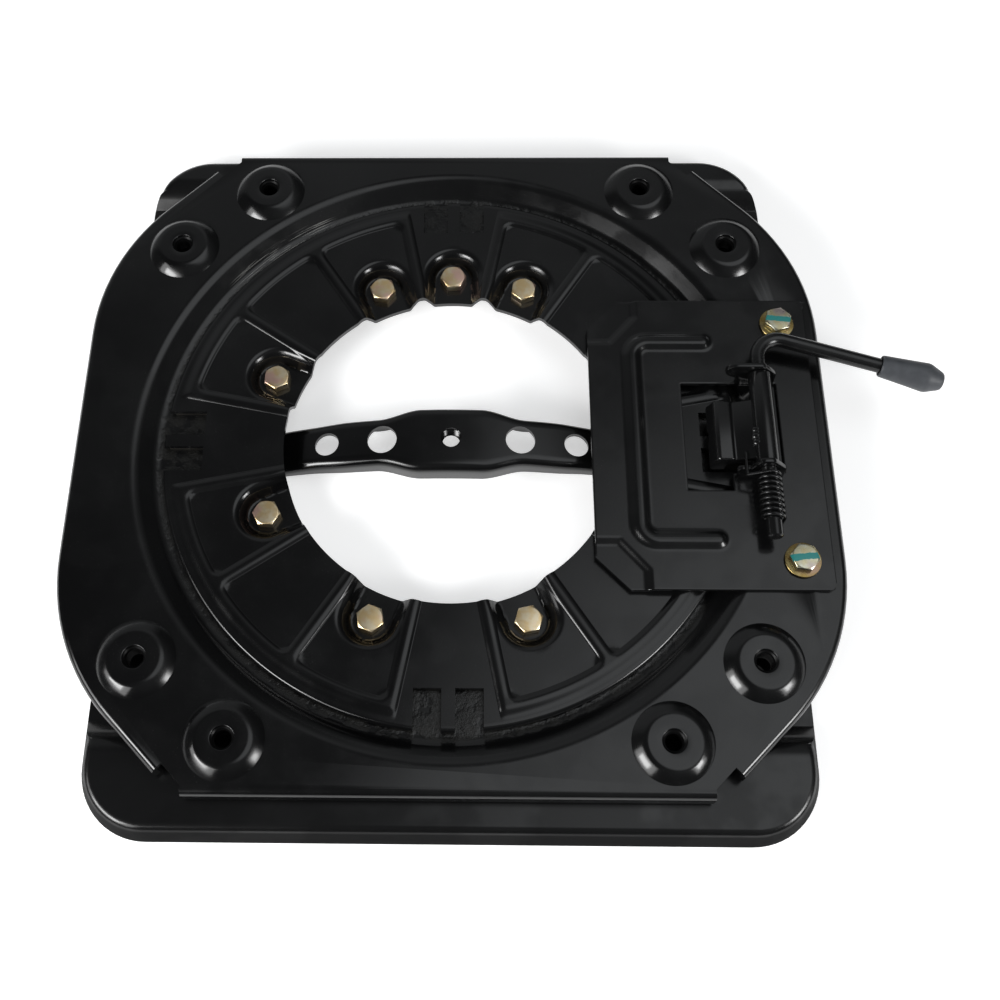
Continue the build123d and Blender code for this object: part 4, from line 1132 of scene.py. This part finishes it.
world = bpy.data.worlds.new("room")
bpy.context.scene.world = world
world.use_nodes = True
room_tree = world.node_tree
room = room_tree.nodes["Background"]
room_look = room_tree.nodes.new("ShaderNodeTexCoord").outputs["Generated"]
room_way = add_node(room_tree, "ShaderNodeSeparateXYZ", Vector=room_look).outputs
right_side = step_up(room_tree, room_way["X"], -0.45, 0.35)
right_side = times(room_tree, right_side, step_up(room_tree, room_way["Z"], 0.3, 0.85))
ceiling = room_tree.nodes.new("ShaderNodeVectorMath")
ceiling.operation = "DOT_PRODUCT"
ceiling.inputs[1].default_value = (0.35, 0.05, 0.935)
room_tree.links.new(room_look, ceiling.inputs[0])
ceiling_spot = step_up(room_tree, ceiling.outputs["Value"], 0.89, 0.97)
rear_wall = step_up(room_tree, room_way["Y"], 0.3, 0.65)
rear_wall = times(room_tree, rear_wall, step_down(room_tree, room_way["Z"], 0.72, 0.95))
rear_wall = times(room_tree, rear_wall, step_down(room_tree, room_way["X"], 0.0, 0.35))
room_level = 0.045
for place, level in ((right_side, 0.14), (ceiling_spot, 1.0), (rear_wall, 0.25)):
    room_level = plus(room_tree, times(room_tree, place, level), room_level)
room_rays = room_tree.nodes.new("ShaderNodeLightPath").outputs
far_floor = step_down(room_tree, room_way["Z"], 0.0, 0.05)
far_floor = times(room_tree, far_floor, room_rays["Is Glossy Ray"])
room_white = math_node(room_tree, "MAXIMUM", far_floor, room_rays["Is Camera Ray"])
room_level = math_node(room_tree, "MAXIMUM", room_level, room_white)
room_tree.links.new(room_level, room.inputs["Strength"])
room.inputs["Color"].default_value = (0.95, 0.98, 1.0, 1)


def soft_box(name, place, width, height, power):
    """A lamp box that faces the middle of the object."""
    bpy.ops.object.light_add(type="AREA", location=place)
    light = bpy.context.object
    light.name = name
    light.data.shape = "RECTANGLE"
    light.data.size = width
    light.data.size_y = height
    light.data.energy = power
    light.rotation_euler = (-Vector(place)).to_track_quat("-Z", "Y").to_euler()


soft_box("box_left", (-0.92, -0.67, 0.7), 0.6, 0.3, 8)
soft_box("box_left_veil", (-0.9, -0.65, 0.67), 1.15, 0.55, 8)
soft_box("box_right", (1.0, -0.62, 0.6), 0.3, 0.3, 4)
soft_box("box_right_veil", (0.98, -0.6, 0.58), 0.55, 0.5, 3)

bpy.ops.object.camera_add()
camera = bpy.context.object
camera.name = "photo_camera"
elevation, yaw, roll = math.radians(65.25), 0.0462549, -0.0390931
look_back = Vector(
    (math.sin(yaw) * math.cos(elevation), -math.cos(yaw) * math.cos(elevation), math.sin(elevation))
)
camera.location = Vector((12.72, -274.75, 628.38)) * mm
camera.rotation_mode = "QUATERNION"
camera.rotation_quaternion = (-look_back).to_track_quat("-Z", "Y") @ Quaternion((0, 0, 1), roll)
sensor_width, focal_share = 36, 1.23966
camera.data.sensor_width = sensor_width
camera.data.lens = focal_share * sensor_width
camera.data.shift_x = 0.049
camera.data.shift_y = -0.065
camera.data.clip_start = 0.01
bpy.context.scene.camera = camera
bpy.context.scene.view_settings.view_transform = "Standard"
